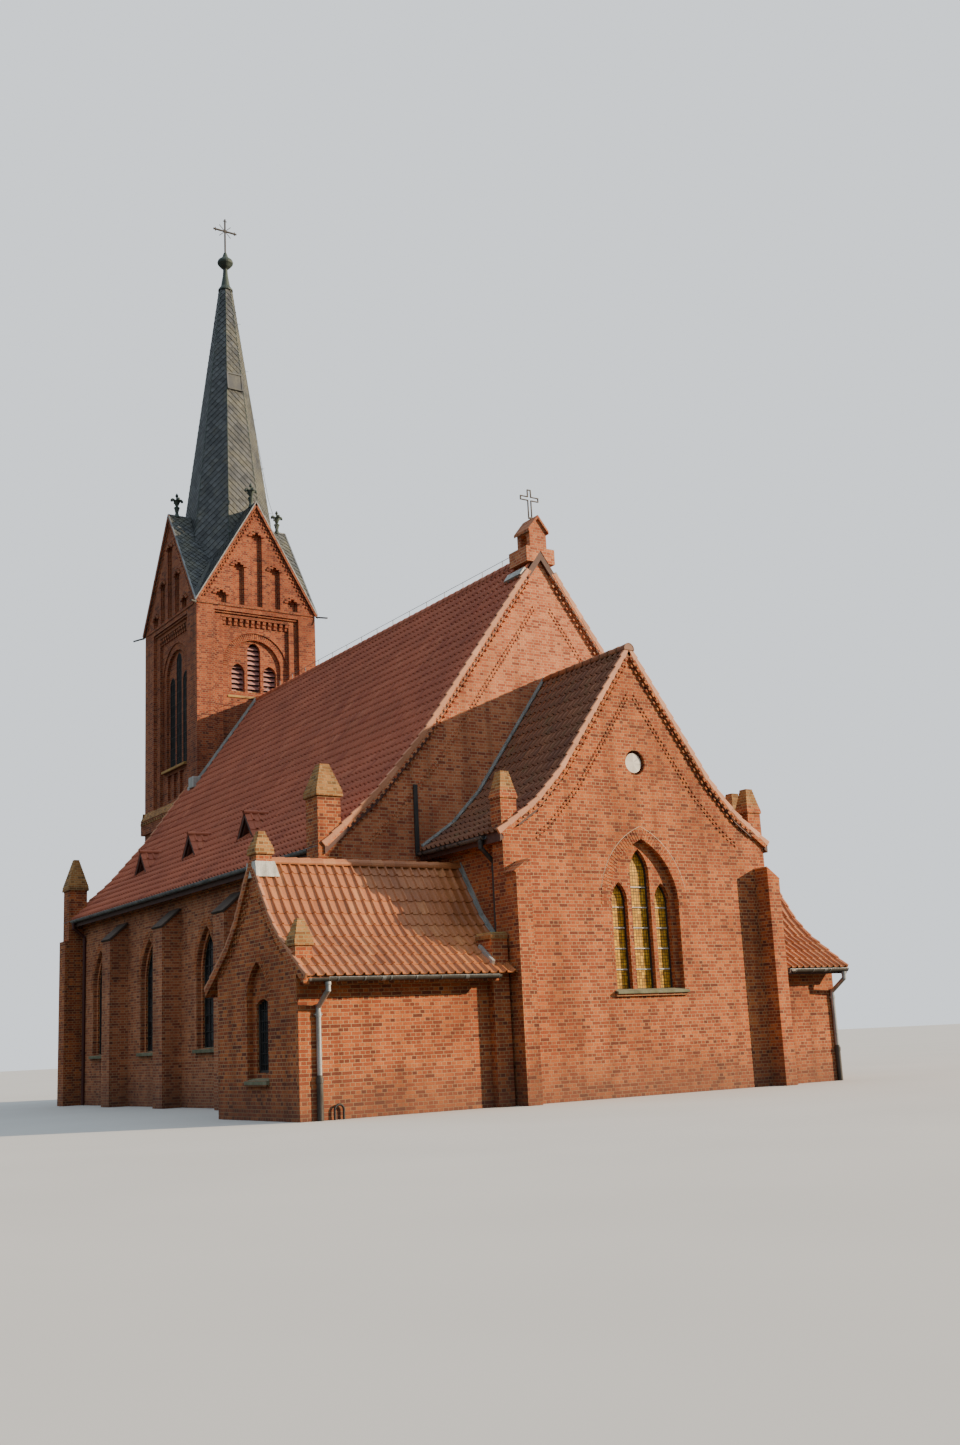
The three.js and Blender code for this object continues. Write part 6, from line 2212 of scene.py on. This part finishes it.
@dataclass
class Spire:
    """The slated spire: eight fields of diamond slates, hip rolls, a hatch and the lightning wire."""

    middle: float = -20.44
    line: RoofLine = RoofLine(((0.24, 31.93), (1.8135, 19.60)))
    facets: int = 8
    wire_hip: float = 67.5

    def half_at(self, z: float) -> float:
        """The distance from the axis to a face's middle at a height."""
        (top_half, top), (foot_half, foot) = self.line.points
        return top_half + (foot_half - top_half) * (top - z) / (top - foot)

    def corner(self, angle: float, z: float, out: float = 0.0) -> Vector:
        """A point on a hip.

        Args:
            angle: The hip's direction from the axis, in degrees from +X.
            z: The point's height.
            out: How far it stands off the hip.

        Returns:
            The point.
        """
        reach = self.half_at(z) / math.cos(math.pi / self.facets) + out
        turn = math.radians(angle)
        return Vector((self.middle + reach * math.cos(turn), reach * math.sin(turn), z))

    def slates(self) -> None:
        """Slates one face and copies it round."""
        half = math.pi / self.facets
        field = SlateField().lay("spire_slates", 1.6, self.line.length())
        moved(field, slope_frame(self.line, self.line.length(), 0.0, -0.925))
        trim(field, (0, 0, 0), (math.cos(half), math.sin(half), 0))
        trim(field, (0, 0, 0), (-math.cos(half), math.sin(half), 0))
        trim(field, (0, 0, 31.90), (0, 0, 1))
        step = 360 / self.facets
        faces = []
        for k in range(self.facets):
            place = Matrix.Translation((self.middle, 0, 0)) @ Matrix.Rotation(math.radians(step * k), 4, "Z")
            faces.append(copied(field, place))
        scrap(field)
        hand_over(gather("spire_slates", faces), SLATE, "slate")
        (_, top), (_, foot) = self.line.points
        hips = []
        for k in range(self.facets):
            angle = step * (k + 0.5)
            hips.append(rod(self.corner(angle, foot), self.corner(angle, top), 0.022, 8))
        hand_over(gather("spire_hips", hips), COPPER, "slate")

    def hatch(self) -> None:
        """Sets the hatch and its frame into the face that looks east."""
        low = self.line.run_at(self.half_at(27.17))
        high = self.line.run_at(self.half_at(27.93))
        lid = slanted("hatch", self.line, low, high, ((-0.29, 0.29), (0.0, 0.045)))
        soften(lid, 0.01)
        parts = [lid]
        tall = low - high
        for box, span in (
            (((-0.34, -0.27), (0.0, 0.065)), (0.0, tall)),
            (((0.27, 0.34), (0.0, 0.065)), (0.0, tall)),
            (((-0.34, 0.34), (0.0, 0.07)), (0.0, 0.06)),
            (((-0.34, 0.34), (0.0, 0.07)), (tall - 0.06, tall)),
        ):
            parts.append(slanted("frame", self.line, low - span[0], low - span[1], box))
        place = Facing.EAST.frame(self.middle, 0)
        hand_over(moved(gather("spire_hatch", parts), place), SLATE, "slate")

    def wire(self) -> None:
        """Runs the lightning wire down the north-east hip on its holders."""
        stops = ((31.97, 0.0), (26.0, 0.03), (24.1, 0.06), (22.87, 0.09), (22.1, 0.2), (20.7, 0.3))
        points = [self.corner(self.wire_hip, z, out) for z, out in stops]
        parts = [rod(a, b, 0.009, 6) for a, b in zip(points, points[1:])]
        for z in (30.5, 28.4, 26.3, 24.2, 22.3):
            parts.append(rod(self.corner(self.wire_hip, z), self.corner(self.wire_hip, z, 0.14), 0.008, 6))
        hand_over(gather("lightning_wire", parts), ZINC, "zinc")

    def build(self) -> None:
        """Builds and dresses the spire."""
        self.slates()
        self.hatch()
        self.wire()


@dataclass
class Studio:
    """A pale floor, a low sun from the photograph's side, and the photograph's camera."""

    camera_place: tuple[float, float, float] = (29.36848 + SITE_X, SITE_Y - 21.75866, 1.32217)
    yaw: float = 2.552734
    pitch: float = 0.220194
    roll: float = -0.049078
    focal_px: float = 1434.104
    sun_azimuth: float = 53.0
    sun_height: float = 20.0
    sun_strength: float = 7.6
    sun_width: float = 0.9
    floor_size: float = 900.0
    far_clip: float = 2000.0

    def floor(self) -> None:
        """Lays the floor."""
        put_down()
        bpy.ops.mesh.primitive_plane_add(size=self.floor_size, location=(0, 0, -0.002))
        piece = settle("studio_floor")
        piece.data.materials.append(PAPER.material())

    def light(self) -> None:
        """Hangs the sun and lights the surroundings more from above than from below."""
        put_down()
        bpy.ops.object.light_add(type="SUN", location=(60, 80, 50))
        sun = bpy.context.active_object
        sun.name = "soft_key"
        azimuth, height = math.radians(self.sun_azimuth), math.radians(self.sun_height)
        level = math.cos(height)
        to_sun = Vector((math.cos(azimuth) * level, math.sin(azimuth) * level, math.sin(height)))
        sun.rotation_euler = to_sun.to_track_quat("Z", "Y").to_euler()
        sun.data.energy = self.sun_strength
        sun.data.angle = math.radians(self.sun_width)
        sun.data.color = linear("FFE4C2")[:3]
        world = bpy.data.worlds.new("studio_air")
        bpy.context.scene.world = world
        world.use_nodes = True
        # The surroundings light the shaded sides softly, and look pale behind the building
        tree = world.node_tree
        air = tree.nodes["Background"]
        air.inputs["Color"].default_value = linear("D4E0EC")
        rise = add(tree, "SeparateXYZ", {0: add(tree, "TexCoord").outputs["Generated"]}).outputs["Z"]
        plug(tree, air, {"Strength": rescale(tree, rise, -0.1, 0.9, 0.24, 1.35)})
        backdrop = add(tree, "Background", {"Color": linear("DCE2E8"), "Strength": 1.5})
        seen = add(tree, "LightPath").outputs["Is Camera Ray"]
        mix = add(tree, "MixShader", {0: seen, 1: air.outputs[0], 2: backdrop.outputs[0]})
        plug(tree, tree.nodes["World Output"], {"Surface": mix.outputs[0]})

    def camera(self) -> None:
        """Sets the camera where the photograph was taken from."""
        cos_p, sin_p = math.cos(self.pitch), math.sin(self.pitch)
        forward = Vector((cos_p * math.cos(self.yaw), cos_p * math.sin(self.yaw), sin_p))
        right = Vector((math.sin(self.yaw), -math.cos(self.yaw), 0.0))
        up = right.cross(forward)
        side = right * math.cos(self.roll) + up * math.sin(self.roll)
        top = up * math.cos(self.roll) - right * math.sin(self.roll)
        turn = Matrix((side, top, -forward)).transposed().to_4x4()
        data = bpy.data.cameras.new("photo_camera")
        data.sensor_fit = "HORIZONTAL"
        data.sensor_width = SENSOR_WIDTH
        data.lens = self.focal_px * SENSOR_WIDTH / PHOTO_WIDTH
        data.clip_end = self.far_clip
        camera = bpy.data.objects.new("photo_camera", data)
        bpy.context.scene.collection.objects.link(camera)
        camera.matrix_world = Matrix.Translation(self.camera_place) @ turn
        bpy.context.scene.camera = camera

    def build(self) -> None:
        """Sets up floor, light and camera."""
        self.floor()
        self.light()
        self.camera()


def dress_solids() -> None:
    """Gives each of the frame's solids the finish of what it is made of."""
    finishes = {
        "brick": BRICK,
        "nave_tile": NAVE_TILE,
        "annex_tile": ANNEX_TILE,
        "slate": SLATE,
        "copper": COPPER,
        "zinc": ZINC,
        "iron": IRON,
        "glass": GLASS,
        "amber_glass": AMBER_GLASS,
        "louvre_wood": LOUVRE_PAINT,
        "door_wood": DOOR_PAINT,
        "painted_disc": DISC_PAINT,
    }
    for part in frame["record"]["subparts"]:
        if part["node"] in frame["nodes"]:
            dress(part["node"], finishes[part["material_slot"]])
            if part["material_slot"] == "brick" and part["node"].startswith("tower_"):
                dress(part["node"], TOWER_BRICK)
    for node in ("nave_east_gable", "gable_shrine"):
        dress(node, GABLE_BRICK)
    for node in ("nave_south_wall", "nave_north_wall"):
        dress(node, WALL_BRICK)
    for node in ("annex_south_gutter", "annex_north_gutter"):
        dress(node, OLD_ZINC)
    # Under their tiles the roofs are boarded
    for node in ("nave_roof_south", "nave_roof_north", "chancel_roof", "north_annex_roof"):
        dress(node, OLD_BOARD)
    # The south annex's deck shows its brick rake at the gable
    dress("annex_roof", BRICK)


def main() -> None:
    """Builds the church's parts in order and reports each."""
    logging.basicConfig(level=logging.INFO, format="%(message)s", stream=sys.stdout)
    dress_solids()
    for part in (Studio(), Nave(), Chancel(), Annexes(), Tower(), Spire()):
        log.info("building: %s", type(part).__name__)
        part.build()


if __name__ == "__main__":
    main()
